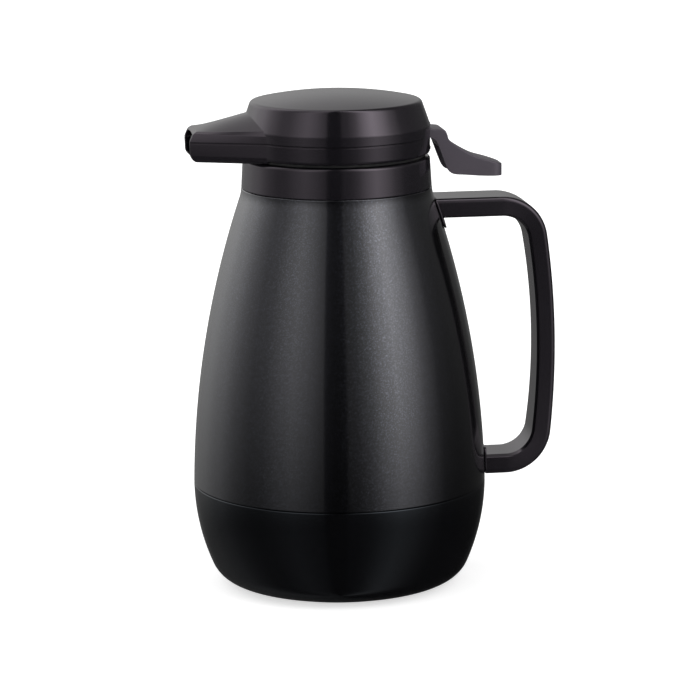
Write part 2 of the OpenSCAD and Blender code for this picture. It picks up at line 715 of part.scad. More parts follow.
// Helical spring between the plug and the underside of the cover
module valve_spring() {
    coil_r = stem_r + 2.2;
    z0 = seat_z + valve_seal_t + fit_gap + valve_plug_t + spring_wire_r + 0.1;
    z1 = cover_z - spring_wire_r - 0.1;
    rings_per_turn = 10;
    sides = 6;
    rings = spring_turns * rings_per_turn;
    points = [for (k = [0:rings]) let (a = 360 * k / rings_per_turn, z = z0 + (z1 - z0) * k / rings)
        for (i = [0:sides - 1]) let (b = 360 * i / sides, r = coil_r + spring_wire_r * cos(b))
            [r * cos(a), r * sin(a), z + spring_wire_r * sin(b)]];
    wall = [for (k = [0:rings - 1], i = [0:sides - 1]) each [
        [k * sides + i, (k + 1) * sides + (i + 1) % sides, k * sides + (i + 1) % sides],
        [k * sides + i, (k + 1) * sides + i, (k + 1) * sides + (i + 1) % sides]]];
    start_cap = [[for (i = [0:sides - 1]) i]];
    end_cap = [[for (i = [sides - 1:-1:0]) rings * sides + i]];
    color("#b9bdc1") polyhedron(points, concat(wall, start_cap, end_cap));
}

module valve_stem_seal() {
    color("#b5423a") ring(stem_r + run_gap, seal_r, cover_top_z - 0.4, cover_top_z + boss_h - 0.4);
}

// Thumb lever: a hub on the pin, a fork to the stem, and a hollow thumb pad outside
lever_root_z = cap_z + 2.2;
lever_tip_z = lid_z - 6.4;
lever_tip_t = 5.2;
lever_knee_x = lid_r + 8.3;

module lever_side() {
    polygon([
        [pivot_x, pivot_z - 3.4], [pivot_x + 5, pivot_z - 4.4], [lid_r + 0.4, lever_root_z - 4],
        [lid_r + 3, lever_root_z - 5.8], [lid_r + 4.2, lever_tip_z + 1.6],
        [lever_knee_x, lever_tip_z - 0.4], [lid_r + 10.6, lever_tip_z - 3.2],
        [lid_r + 13.4, lever_tip_z - 4.1], [lid_r + 23, lever_tip_z - lever_tip_t],
        [lever_reach, lever_tip_z - lever_tip_t - 0.6], [lever_reach, lever_tip_z - 1.6],
        [lid_r + 28, lever_tip_z + 0.8], [lid_r + 20.6, lever_tip_z + 3.4],
        [lid_r + 13.4, lever_tip_z + 7.2], [lever_knee_x, lever_tip_z + 11],
        [lid_r + 7.4, lever_tip_z + 14], [lid_r + 6, lever_root_z - 0.1],
        [lid_r + 3, lever_root_z + 0.8], [lid_r - 0.2, lever_root_z + 0.5],
        [pivot_x + 5.5, pivot_z + 1.4], [pivot_x, pivot_z + 4]]);
}

// Hollow under the skin of the pad
module lever_hollow() {
    polygon([
        [lid_r + 2, lid_z - 12], [lid_r + 2, lever_root_z - 5], [lid_r + 5.4, lever_root_z - 4],
        [lever_knee_x - 2.4, lever_tip_z + 10.2], [lid_r + 12.6, lever_tip_z + 5],
        [lid_r + 20, lever_tip_z + 1.2], [lever_reach - lever_wall - 1.4, lever_tip_z - 2.6],
        [lever_reach - lever_wall - 1.4, lid_z - 12]]);
}

module thumb_lever() {
    tip_corner = lever_pad_w / 2 - 1;
    fork_w = 3.6;
    fork_in = stem_r + 0.6;
    fork_arm_half_t = 1.1;
    fork_slim_len = stem_flange_r + 2;
    color("#1d1c20") difference() {
        union() {
            intersection() {
                difference() {
                    y_extrude(lever_pad_w) lever_side();
                    y_extrude(lever_pad_w - 2 * lever_wall) lever_hollow();
                }
                translate([0, 0, lid_z - 30]) linear_extrude(60) union() {
                    translate([pivot_x, -lever_inner_w / 2])
                        square([lid_r - 2 - pivot_x, lever_inner_w]);
                    translate([lid_r - 3.4, -lever_pad_w / 2])
                        square([lever_reach - tip_corner - lid_r + 3.4, lever_pad_w]);
                    translate([lever_reach - tip_corner, -1])
                        square([tip_corner, 2]);
                    for (s = [-1, 1]) translate([lever_reach - tip_corner, s]) circle(tip_corner);
                }
            }
            translate([pivot_x, 0, pivot_z]) y_cylinder(4, lever_inner_w);
            for (s = [-1, 1]) translate([0, s * (fork_in + fork_w / 2), 0]) {
                translate([0, 0, fork_z]) y_cylinder(fork_tip_r, fork_w);
                y_extrude(fork_w) polygon([
                    [0, fork_z - fork_arm_half_t], [fork_slim_len, fork_z - fork_arm_half_t],
                    [pivot_x, pivot_z - 3.4], [pivot_x, pivot_z + 3.4],
                    [fork_slim_len, fork_z + fork_arm_half_t], [0, fork_z + fork_arm_half_t]]);
            }
        }
        translate([pivot_x, 0, pivot_z]) y_cylinder(pin_r + run_gap, 40);
    }
}

module lever_pin() {
    color("#b0b4b8") translate([pivot_x, 0, pivot_z]) y_cylinder(pin_r, 2 * (lug_in + lug_t) + 1.2);
}

body_shell();
neck_collar();
base_cup();
base_cap();
foot_ring();
liner_inner_flask();
liner_outer_flask();
liner_spacers();
liner_mouth_gasket();
liner_base_cushion();
handle();
handle_screws();
lid_ring_gasket();
lid_cap();
lid_body();
lid_flow_cover();
lid_cover_gasket();
lid_cover_screws();
stopper_body();
stopper_mouth_seal();
valve_stem();
valve_plug();
valve_seal();
valve_spring();
valve_stem_seal();
thumb_lever();
lever_pin();
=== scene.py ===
import logging
from dataclasses import dataclass
from enum import Enum
from math import radians
from typing import Optional, Union

import bmesh
import bpy
import numpy as np
from mathutils import Matrix, Vector

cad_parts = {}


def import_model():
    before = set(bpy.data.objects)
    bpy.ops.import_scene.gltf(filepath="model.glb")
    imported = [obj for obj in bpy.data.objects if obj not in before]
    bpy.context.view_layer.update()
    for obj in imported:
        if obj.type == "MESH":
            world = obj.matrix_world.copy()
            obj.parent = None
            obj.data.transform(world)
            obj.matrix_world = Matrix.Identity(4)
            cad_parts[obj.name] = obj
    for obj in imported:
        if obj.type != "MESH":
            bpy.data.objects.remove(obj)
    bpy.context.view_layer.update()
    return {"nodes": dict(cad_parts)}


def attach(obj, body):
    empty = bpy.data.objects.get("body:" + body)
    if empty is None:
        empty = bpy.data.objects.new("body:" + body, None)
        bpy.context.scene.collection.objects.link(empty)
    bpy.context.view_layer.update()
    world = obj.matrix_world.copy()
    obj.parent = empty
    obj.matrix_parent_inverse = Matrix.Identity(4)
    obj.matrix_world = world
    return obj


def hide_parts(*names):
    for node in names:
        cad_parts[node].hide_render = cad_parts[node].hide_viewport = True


log = logging.getLogger("carafe")

Array = np.ndarray

MM = 0.001
PHOTO_PX = 700
# Points closer than this are merged, in metres
MERGE_M = 2e-6
# Angle between two faces above which the shading breaks at their edge
CREASE_DEG = 34.0
# Largest share of an edge that a corner's arc may take, and how far past it the next point lies
ARC_SHARE, PAST_SHARE = 0.42, 0.14


class Body(Enum):
    """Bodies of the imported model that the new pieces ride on."""

    CARAFE = "carafe"
    LID_SEAT = "lid_seat"
    LID = "lid"
    LEVER = "lever"


class Slot(Enum):
    """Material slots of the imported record."""

    SHELL_PAINT = "shell_paint"
    BLACK_TRIM = "black_trim"
    BASE_GLOSS = "base_gloss"
    BLACK_MOULDING = "black_moulding"
    WHITE_MOULDING = "white_moulding"
    FOOT_RUBBER = "foot_rubber"
    SILICONE_SEAL = "silicone_seal"
    RED_SEAL = "red_seal"
    SPACER_PAD = "spacer_pad"
    SILVERED_GLASS = "silvered_glass"
    SCREW_STEEL = "screw_steel"


# Colour and shader nodes


def linear(hex_colour: str) -> tuple[float, float, float, float]:
    """Turn an sRGB hex colour into linear light.

    Args:
        hex_colour: Six hex digits, with or without a leading hash.

    Returns:
        Red, green, blue and an alpha of one.
    """
    digits = hex_colour.lstrip("#")
    srgb = np.array([int(digits[i:i + 2], 16) for i in (0, 2, 4)]) / 255.0
    light = np.where(srgb <= 0.04045, srgb / 12.92, ((srgb + 0.055) / 1.055) ** 2.4)
    return (float(light[0]), float(light[1]), float(light[2]), 1.0)


def add_node(
    tree: bpy.types.NodeTree, kind: str, inputs: Optional[dict] = None, **settings: object
) -> bpy.types.Node:
    """Add one node, with its settings, its values and its links.

    Args:
        tree: Node tree that takes the node.
        kind: Blender's type name of the node.
        inputs: Values or output sockets by input name or number.
        settings: Attributes of the node itself.

    Returns:
        The new node.
    """
    node = tree.nodes.new(kind)
    for name, value in settings.items():
        setattr(node, name, value)
    for key, value in (inputs or {}).items():
        if isinstance(value, bpy.types.NodeSocket):
            tree.links.new(value, node.inputs[key])
        else:
            node.inputs[key].default_value = value
    return node


def blank_material(name: str) -> tuple[bpy.types.Material, bpy.types.NodeTree, bpy.types.NodeSocket]:
    """Make an empty node material that reads Object coordinates.

    Args:
        name: Name of the material.

    Returns:
        The material, its node tree and the Object coordinate socket, in metres.
    """
    material = bpy.data.materials.new(name)
    material.use_nodes = True
    tree = material.node_tree
    tree.nodes.clear()
    place = add_node(tree, "ShaderNodeTexCoord")
    return material, tree, place.outputs["Object"]


def per_metre(size_mm: float) -> float:
    """Return a texture scale whose pattern repeats about once in size_mm."""
    return 1.0 / (size_mm * MM)


@dataclass(frozen=True)
class FlakePaint:
    """Charcoal metallic stoving enamel on drawn steel, under a gloss clear coat.

    The aluminium flakes lie at slightly different tilts, so the eye sees fine sparkles in the
    bright bands and none in the dark ones. Real flakes are about 0.05 mm; they are drawn coarser
    so that they show.
    """

    name: str = "charcoal_flake_enamel"
    ground_hex: str = "#323236"
    flake_hex: str = "#50525b"
    flake_mm: float = 0.3
    flake_tilt: float = 0.07
    glint_from: float = 0.72
    roughness: float = 0.26
    coat_roughness: float = 0.06
    coat_ior: float = 1.5

    def make(self) -> bpy.types.Material:
        """Build the material.

        Returns:
            The material.
        """
        material, tree, place = blank_material(self.name)
        cells = add_node(tree, "ShaderNodeTexVoronoi",
                         {"Vector": place, "Scale": per_metre(self.flake_mm)})
        parts = add_node(tree, "ShaderNodeSeparateColor", {"Color": cells.outputs["Color"]})
        glint = add_node(tree, "ShaderNodeMapRange",
                         {"Value": parts.outputs["Red"], "From Min": self.glint_from})
        tone = add_node(tree, "ShaderNodeMix",
                        {"Factor": glint.outputs["Result"], "A": linear(self.ground_hex),
                         "B": linear(self.flake_hex)}, data_type="RGBA")
        spread = add_node(tree, "ShaderNodeVectorMath",
                          {0: cells.outputs["Color"], 1: (0.5, 0.5, 0.5)}, operation="SUBTRACT")
        tilt = add_node(tree, "ShaderNodeVectorMath",
                        {0: spread.outputs["Vector"], "Scale": self.flake_tilt}, operation="SCALE")
        flat = add_node(tree, "ShaderNodeNewGeometry")
        leaning = add_node(tree, "ShaderNodeVectorMath",
                           {0: flat.outputs["Normal"], 1: tilt.outputs["Vector"]}, operation="ADD")
        normal = add_node(tree, "ShaderNodeVectorMath", {0: leaning.outputs["Vector"]},
                          operation="NORMALIZE")
        shader = add_node(tree, "ShaderNodeBsdfPrincipled",
                          {"Base Color": tone.outputs["Result"], "Metallic": 1.0,
                           "Roughness": self.roughness, "Normal": normal.outputs["Vector"],
                           "Coat Weight": 1.0, "Coat Roughness": self.coat_roughness,
                           "Coat IOR": self.coat_ior})
        add_node(tree, "ShaderNodeOutputMaterial", {"Surface": shader.outputs["BSDF"]})
        return material


@dataclass(frozen=True)
class MouldedPlastic:
    """Injection-moulded plastic, whose skin copies the polish or the fine spark grain of its mould.

    A slow change of gloss, as from handling, and a shallow grain keep its highlights from being
    even. The grain is drawn coarser than the real one so that it shows.
    """

    name: str
    colour_hex: str
    roughness: float
    gloss_change: float = 0.05
    grain_mm: float = 0.5
    grain_depth_mm: float = 0.002
    ior: float = 1.5
    tint_hex: str = "#ffffff"
    handling_mm: float = 22.0
    paler: float = 1.25

    def make(self) -> bpy.types.Material:
        """Build the material.

        Returns:
            The material.
        """
        material, tree, place = blank_material(self.name)
        handling = add_node(tree, "ShaderNodeTexNoise",
                            {"Vector": place, "Scale": per_metre(self.handling_mm), "Detail": 3.0})
        gloss = add_node(tree, "ShaderNodeMapRange",
                         {"Value": handling.outputs["Fac"], "From Min": 0.3, "From Max": 0.7,
                          "To Min": self.roughness - self.gloss_change,
                          "To Max": self.roughness + self.gloss_change})
        deep = linear(self.colour_hex)
        pale = tuple(channel * self.paler for channel in deep[:3]) + (1.0,)
        tone = add_node(tree, "ShaderNodeMix",
                        {"Factor": handling.outputs["Fac"], "A": deep, "B": pale}, data_type="RGBA")
        grain = add_node(tree, "ShaderNodeTexNoise",
                         {"Vector": place, "Scale": per_metre(self.grain_mm), "Detail": 1.0})
        skin = add_node(tree, "ShaderNodeBump",
                        {"Height": grain.outputs["Fac"], "Strength": 0.5,
                         "Distance": self.grain_depth_mm * MM})
        shader = add_node(tree, "ShaderNodeBsdfPrincipled",
                          {"Base Color": tone.outputs["Result"], "Roughness": gloss.outputs["Result"],
                           "Normal": skin.outputs["Normal"], "IOR": self.ior,
                           "Specular Tint": linear(self.tint_hex)})
        add_node(tree, "ShaderNodeOutputMaterial", {"Surface": shader.outputs["BSDF"]})
        return material


@dataclass(frozen=True)
class Elastomer:
    """Compression-moulded rubber or silicone: soft, matt and slightly blotched with release dust."""

    name: str
    colour_hex: str
    dust_hex: str
    roughness: float = 0.6
    blotch_mm: float = 4.0
    grain_mm: float = 0.6
    grain_depth_mm: float = 0.01
    see_in: float = 0.0
    see_in_mm: float = 1.5
    ior: float = 1.41

    def make(self) -> bpy.types.Material:
        """Build the material.

        Returns:
            The material.
        """
        material, tree, place = blank_material(self.name)
        blotch = add_node(tree, "ShaderNodeTexNoise",
                          {"Vector": place, "Scale": per_metre(self.blotch_mm), "Detail": 4.0})
        dust = add_node(tree, "ShaderNodeMapRange",
                        {"Value": blotch.outputs["Fac"], "From Min": 0.45, "From Max": 0.8})
        tone = add_node(tree, "ShaderNodeMix",
                        {"Factor": dust.outputs["Result"], "A": linear(self.colour_hex),
                         "B": linear(self.dust_hex)}, data_type="RGBA")
        grain = add_node(tree, "ShaderNodeTexNoise",
                         {"Vector": place, "Scale": per_metre(self.grain_mm), "Detail": 2.0})
        skin = add_node(tree, "ShaderNodeBump",
                        {"Height": grain.outputs["Fac"], "Strength": 0.4,
                         "Distance": self.grain_depth_mm * MM})
        shader = add_node(tree, "ShaderNodeBsdfPrincipled",
                          {"Base Color": tone.outputs["Result"], "Roughness": self.roughness,
                           "Normal": skin.outputs["Normal"], "IOR": self.ior,
                           "Subsurface Weight": self.see_in,
                           "Subsurface Scale": self.see_in_mm * MM})
        add_node(tree, "ShaderNodeOutputMaterial", {"Surface": shader.outputs["BSDF"]})
        return material


@dataclass(frozen=True)
class SilveredGlass:
    """Blown borosilicate glass, silvered on its vacuum side, so it looks like a mirror with ripples."""

    name: str = "silvered_glass"
    silver_hex: str = "#d6dadc"
    ripple_mm: float = 30.0
    ripple_depth_mm: float = 0.6
    clear_roughness: float = 0.03
    hazy_roughness: float = 0.16

    def make(self) -> bpy.types.Material:
        """Build the material.

        Returns:
            The material.
        """
        material, tree, place = blank_material(self.name)
        wave = add_node(tree, "ShaderNodeTexNoise",
                        {"Vector": place, "Scale": per_metre(self.ripple_mm), "Detail": 1.0})
        ripple = add_node(tree, "ShaderNodeBump",
                          {"Height": wave.outputs["Fac"], "Strength": 0.6,
                           "Distance": self.ripple_depth_mm * MM})
        haze = add_node(tree, "ShaderNodeMapRange",
                        {"Value": wave.outputs["Fac"], "To Min": self.clear_roughness,
                         "To Max": self.hazy_roughness})
        shader = add_node(tree, "ShaderNodeBsdfPrincipled",
                          {"Base Color": linear(self.silver_hex), "Metallic": 1.0,
                           "Roughness": haze.outputs["Result"], "Normal": ripple.outputs["Normal"],
                           "Coat Weight": 1.0, "Coat Roughness": 0.02})
        add_node(tree, "ShaderNodeOutputMaterial", {"Surface": shader.outputs["BSDF"]})
        return material


@dataclass(frozen=True)
class DrawnSteel:
    """Stainless wire and cold-headed screws, with the fine rings that drawing and heading leave.

    The rings are drawn coarser than the real ones so that they show.
    """

    name: str = "stainless_drawn"
    colour_hex: str = "#a3a5a6"
    ring_mm: float = 4.4
    bright_roughness: float = 0.2
    dull_roughness: float = 0.36

    def make(self) -> bpy.types.Material:
        """Build the material.

        Returns:
            The material.
        """
        material, tree, place = blank_material(self.name)
        # At a scale of one the rings of a wave texture lie 2 pi / 20 apart
        rings = add_node(tree, "ShaderNodeTexWave",
                         {"Vector": place, "Scale": per_metre(self.ring_mm) * 2 * np.pi / 20,
                          "Distortion": 1.5, "Detail": 2.0}, wave_type="RINGS")
        wear = add_node(tree, "ShaderNodeMapRange",
                        {"Value": rings.outputs["Fac"], "To Min": self.bright_roughness,
                         "To Max": self.dull_roughness})
        shader = add_node(tree, "ShaderNodeBsdfPrincipled",
                          {"Base Color": linear(self.colour_hex), "Metallic": 1.0,
                           "Roughness": wear.outputs["Result"]})
        add_node(tree, "ShaderNodeOutputMaterial", {"Surface": shader.outputs["BSDF"]})
        return material


@dataclass(frozen=True)
class MineralPad:
    """Pressed mineral wool: dry, chalky and fibrous."""

    name: str = "pressed_mineral_wool"
    pale_hex: str = "#cdc6b6"
    dark_hex: str = "#9d9584"
    fibre_mm: float = 0.8
    fluff_mm: float = 0.2
    roughness: float = 0.95

    def make(self) -> bpy.types.Material:
        """Build the material.

        Returns:
            The material.
        """
        material, tree, place = blank_material(self.name)
        fibres = add_node(tree, "ShaderNodeTexNoise",
                          {"Vector": place, "Scale": per_metre(self.fibre_mm), "Detail": 6.0})
        tone = add_node(tree, "ShaderNodeMix",
                        {"Factor": fibres.outputs["Fac"], "A": linear(self.pale_hex),
                         "B": linear(self.dark_hex)}, data_type="RGBA")
        fluff = add_node(tree, "ShaderNodeBump",
                         {"Height": fibres.outputs["Fac"], "Strength": 1.0,
                          "Distance": self.fluff_mm * MM})
        shader = add_node(tree, "ShaderNodeBsdfPrincipled",
                          {"Base Color": tone.outputs["Result"], "Roughness": self.roughness,
                           "Normal": fluff.outputs["Normal"]})
        add_node(tree, "ShaderNodeOutputMaterial", {"Surface": shader.outputs["BSDF"]})
        return material


Finish = Union[FlakePaint, MouldedPlastic, Elastomer, SilveredGlass, DrawnSteel, MineralPad]

# The lever's mould is spark-eroded, for the thumb's grip, so the same ABS comes out semi-matt. Its
# grey, far paler than the trim's black, is painted light: it stands in for the light that the lever's
# sides catch
LEVER_FINISH_PAINTED_LIGHT = MouldedPlastic("abs_semi_matt_black_painted_light", "#3e3b41", 0.44, ior=1.6, grain_depth_mm=0.006,
                              tint_hex="#fff0ff")

FINISHES: dict[Slot, Finish] = {
    Slot.SHELL_PAINT: FlakePaint(),
    # ABS from a fine-polished mould: a semi-gloss black that turns violet-grey where it mirrors a light
    Slot.BLACK_TRIM: MouldedPlastic("abs_semi_gloss_black", "#100f12", 0.13, 0.03, ior=1.6,
                                    tint_hex="#fff0ff"),
    # ABS from a mirror-polished mould: a deep black with hard, thin reflections
    Slot.BASE_GLOSS: MouldedPlastic("abs_gloss_black", "#060607", 0.09, 0.03, grain_depth_mm=0.001,
                                    tint_hex="#e6f2ff"),
    # Polypropylene with a plain spark-eroded grain: dull charcoal
    Slot.BLACK_MOULDING: MouldedPlastic("polypropylene_black", "#232326", 0.45, grain_depth_mm=0.01),
    # Unfilled acetal: waxy white that slides without oil
    Slot.WHITE_MOULDING: MouldedPlastic("acetal_natural", "#d2d2cb", 0.38, grain_depth_mm=0.005),
    Slot.FOOT_RUBBER: Elastomer("rubber_black", "#1c1c1d", "#343433", 0.7),
    Slot.SILICONE_SEAL: Elastomer("silicone_grey", "#8b8d8f", "#a2a4a5", 0.5, see_in=0.2),
    Slot.RED_SEAL: Elastomer("silicone_red", "#a8412f", "#b85947", 0.45, see_in=0.2),
    Slot.SPACER_PAD: MineralPad(),
    Slot.SILVERED_GLASS: SilveredGlass(),
    Slot.SCREW_STEEL: DrawnSteel(),
}


class Palette:
    """Materials of the finishes, each made once."""

    def __init__(self) -> None:
        """Make every finish."""
        self.materials = {slot: finish.make() for slot, finish in FINISHES.items()}
        # The lever's semi-matt material, whose paler grey is painted light
        self.lever_semi_matt_painted_light = LEVER_FINISH_PAINTED_LIGHT.make()

    def dress(self, thing: bpy.types.Object, slot: Slot, semi_matt_painted_light: bool = False) -> None:
        """Give an object one finish.

        Args:
            thing: Object to dress.
            slot: Slot whose finish it takes.
            semi_matt_painted_light: Whether it takes the trim's semi-matt form, whose paler grey is
                painted light.
        """
        thing.data.materials.clear()
        thing.data.materials.append(self.lever_semi_matt_painted_light if semi_matt_painted_light else self.materials[slot])


# Surfaces


def polar(centre: tuple[float, float], radius: float, start: float, stop: float, count: int) -> Array:
    """Return points on an arc: centre plus radius times cosine and sine of each angle.

    Args:
        centre: Centre of the arc.
        radius: Radius of the arc.
        start: First angle in degrees.
        stop: Last angle in degrees.
        count: Number of points.

    Returns:
        Array of count by 2.
    """
    turn = np.radians(np.linspace(start, stop, count))
    return np.stack([centre[0] + radius * np.cos(turn), centre[1] + radius * np.sin(turn)], axis=-1)


def bend_corners(corners: Array, radii: Array, closed: bool = True, steps: int = 5) -> Array:
    """Round the corners of one or many lines.

    At each corner a circular arc of the given radius touches both edges. It is the rational
    quadratic curve between its two touching points, weighted by the sine of half the corner's
    angle. One more point on each edge just past the arc keeps the flat beside it flat.

    Args:
        corners: Array of (..., n, 2 or 3), with the corners along the last but one axis.
        radii: Radius at each of the n corners, zero where a corner stays as it is.
        closed: Whether the last corner joins the first.
        steps: Number of steps in each arc.

    Returns:
        Array of (..., m, 2 or 3).
    """
    radii = np.array(radii, dtype=float)
    if not closed:
        radii[[0, -1]] = 0.0
    back = np.roll(corners, 1, axis=-2) - corners
    ahead = np.roll(corners, -1, axis=-2) - corners
    back_len = np.maximum(np.linalg.norm(back, axis=-1), 1e-9)
    ahead_len = np.maximum(np.linalg.norm(ahead, axis=-1), 1e-9)
    back_dir = back / back_len[..., None]
    ahead_dir = ahead / ahead_len[..., None]
    cosine = np.clip((back_dir * ahead_dir).sum(-1), -0.9999, 0.9999)
    half = np.arccos(cosine) / 2
    touch = np.minimum(radii / np.tan(half), ARC_SHARE * np.minimum(back_len, ahead_len))
    past = PAST_SHARE * touch
    weight = np.sin(half)[..., None, None]
    s = np.linspace(0, 1, steps + 1)[:, None]
    first = (corners + back_dir * touch[..., None])[..., None, :]
    last = (corners + ahead_dir * touch[..., None])[..., None, :]
    middle = corners[..., None, :]
    bottom = (1 - s) ** 2 + 2 * weight * s * (1 - s) + s ** 2
    curve = ((1 - s) ** 2 * first + 2 * weight * s * (1 - s) * middle + s ** 2 * last) / bottom
    before = (corners + back_dir * (touch + past)[..., None])[..., None, :]
    after = (corners + ahead_dir * (touch + past)[..., None])[..., None, :]
    bent = np.concatenate([before, curve, after], axis=-2)
    keep = np.ones((radii.size, steps + 3), dtype=bool)
    keep[radii <= 0, 1:] = False
    flat = bent.reshape(bent.shape[:-3] + (-1, bent.shape[-1]))
    return flat[..., keep.ravel(), :]


@dataclass
class Skin:
    """Part of a mesh: points in millimetres, and faces in arrays of equal length."""

    points: Array
    faces: list[Array]

    def outward(self) -> "Skin":
        """Turn the faces outwards, by the sign of the volume they enclose.

        Returns:
            The skin itself where they point outwards already, and otherwise a turned one.
        """
        volume = 0.0
        for group in self.faces:
            corner = self.points[group]
            for k in range(1, group.shape[1] - 1):
                volume += np.einsum("ij,ij->", corner[:, 0], np.cross(corner[:, k], corner[:, k + 1]))
        return self if volume >= 0 else Skin(self.points, [group[:, ::-1] for group in self.faces])


def lattice(rows: int, cols: int, join_rows: bool, join_cols: bool) -> Array:
    """Return the quads of a grid of points numbered row by row.

    Args:
        rows: Number of rows.
        cols: Number of columns.
        join_rows: Whether the last row joins the first.
        join_cols: Whether the last column joins the first.

    Returns:
        Array of quads.
    """
    i, j = np.meshgrid(np.arange(rows - (not join_rows)), np.arange(cols - (not join_cols)),
                       indexing="ij")
    i2, j2 = (i + 1) % rows, (j + 1) % cols
    quads = np.stack([i * cols + j, i * cols + j2, i2 * cols + j2, i2 * cols + j], axis=-1)
    return quads.reshape(-1, 4)


def tube(rings: Array, joined: bool = False) -> Skin:
    """Close rings of points into a skin.

    Args:
        rings: Array of (rings, points, 3), where each ring is a closed line.
        joined: Whether the last ring joins the first; otherwise both ends get a flat cap.

    Returns:
        The skin, facing outwards.
    """
    count, around = rings.shape[:2]
    faces = [lattice(count, around, joined, True)]
    if not joined:
        faces += [np.arange(around)[None, ::-1], (np.arange(around) + (count - 1) * around)[None]]
    return Skin(rings.reshape(-1, 3), faces).outward()


def turned(profile: Array, start: float = 0.0, stop: float = 360.0, segments: int = 192) -> Skin:
    """Turn a closed profile about the Z axis: x is r times cosine, y is r times sine.

    Args:
        profile: Array of (n, 2), with radius and height in millimetres.
        start: First angle in degrees.
        stop: Last angle in degrees.
        segments: Steps between the two angles.

    Returns:
        The skin, facing outwards.
    """
    whole = abs(stop - start) >= 360
    turn = np.radians(np.linspace(start, stop, segments + (not whole), endpoint=not whole))
    return tube(around_axis(np.broadcast_to(profile, (turn.size,) + profile.shape), turn), whole)


def around_axis(profiles: Array, turn: Array) -> Array:
    """Place one profile of radius and height at each angle.

    Args:
        profiles: Array of (angles, n, 2).
        turn: Angles in radians.

    Returns:
        Array of (angles, n, 3).
    """
    radius, height = profiles[..., 0], profiles[..., 1]
    return np.stack([radius * np.cos(turn)[:, None], radius * np.sin(turn)[:, None], height], axis=-1)


def make_piece(name: str, skins: list[Skin], palette: Palette, slot: Slot, body: Body,
               replaces: tuple[str, ...] = (), semi_matt_painted_light: bool = False) -> bpy.types.Object:
    """Join skins into one mesh object in metres, and hang it on its body.

    Args:
        name: Name of the piece.
        skins: Skins in millimetres.
        palette: Materials.
        slot: Slot whose finish it takes.
        body: Body that it rides on.
        replaces: CAD nodes that it stands for.
        semi_matt_painted_light: Whether it takes the trim's semi-matt form, whose paler grey is painted
            light.

    Returns:
        The object.
    """
    offsets = np.cumsum([0] + [len(skin.points) for skin in skins[:-1]])
    points = np.concatenate([skin.points for skin in skins]) * MM
    groups = [group + offset for skin, offset in zip(skins, offsets) for group in skin.faces]
    loops = np.concatenate([group.ravel() for group in groups]).astype(np.int32)
    totals = np.concatenate([np.full(len(group), group.shape[1]) for group in groups]).astype(np.int32)
    mesh = bpy.data.meshes.new(name)
    mesh.vertices.add(len(points))
    mesh.vertices.foreach_set("co", points.astype(np.float32).ravel())
    mesh.loops.add(len(loops))
    mesh.loops.foreach_set("vertex_index", loops)
    mesh.polygons.add(len(totals))
    mesh.polygons.foreach_set("loop_start", (np.cumsum(totals) - totals).astype(np.int32))
    mesh.update(calc_edges=True)
    mesh.validate()
    work = bmesh.new()
    work.from_mesh(mesh)
    bmesh.ops.remove_doubles(work, verts=work.verts, dist=MERGE_M)
    work.to_mesh(mesh)
    work.free()
    mesh.polygons.foreach_set("use_smooth", np.ones(len(mesh.polygons), dtype=bool))
    mesh.set_sharp_from_angle(angle=radians(CREASE_DEG))
    thing = bpy.data.objects.new(name, mesh)
    bpy.context.scene.collection.objects.link(thing)
    palette.dress(thing, slot, semi_matt_painted_light)
    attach(thing, body.value)
    if replaces:
        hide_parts(*replaces)
    log.info("%s: %d faces on %s", name, len(mesh.polygons), body.value)
    return thing


# Sub-assemblies


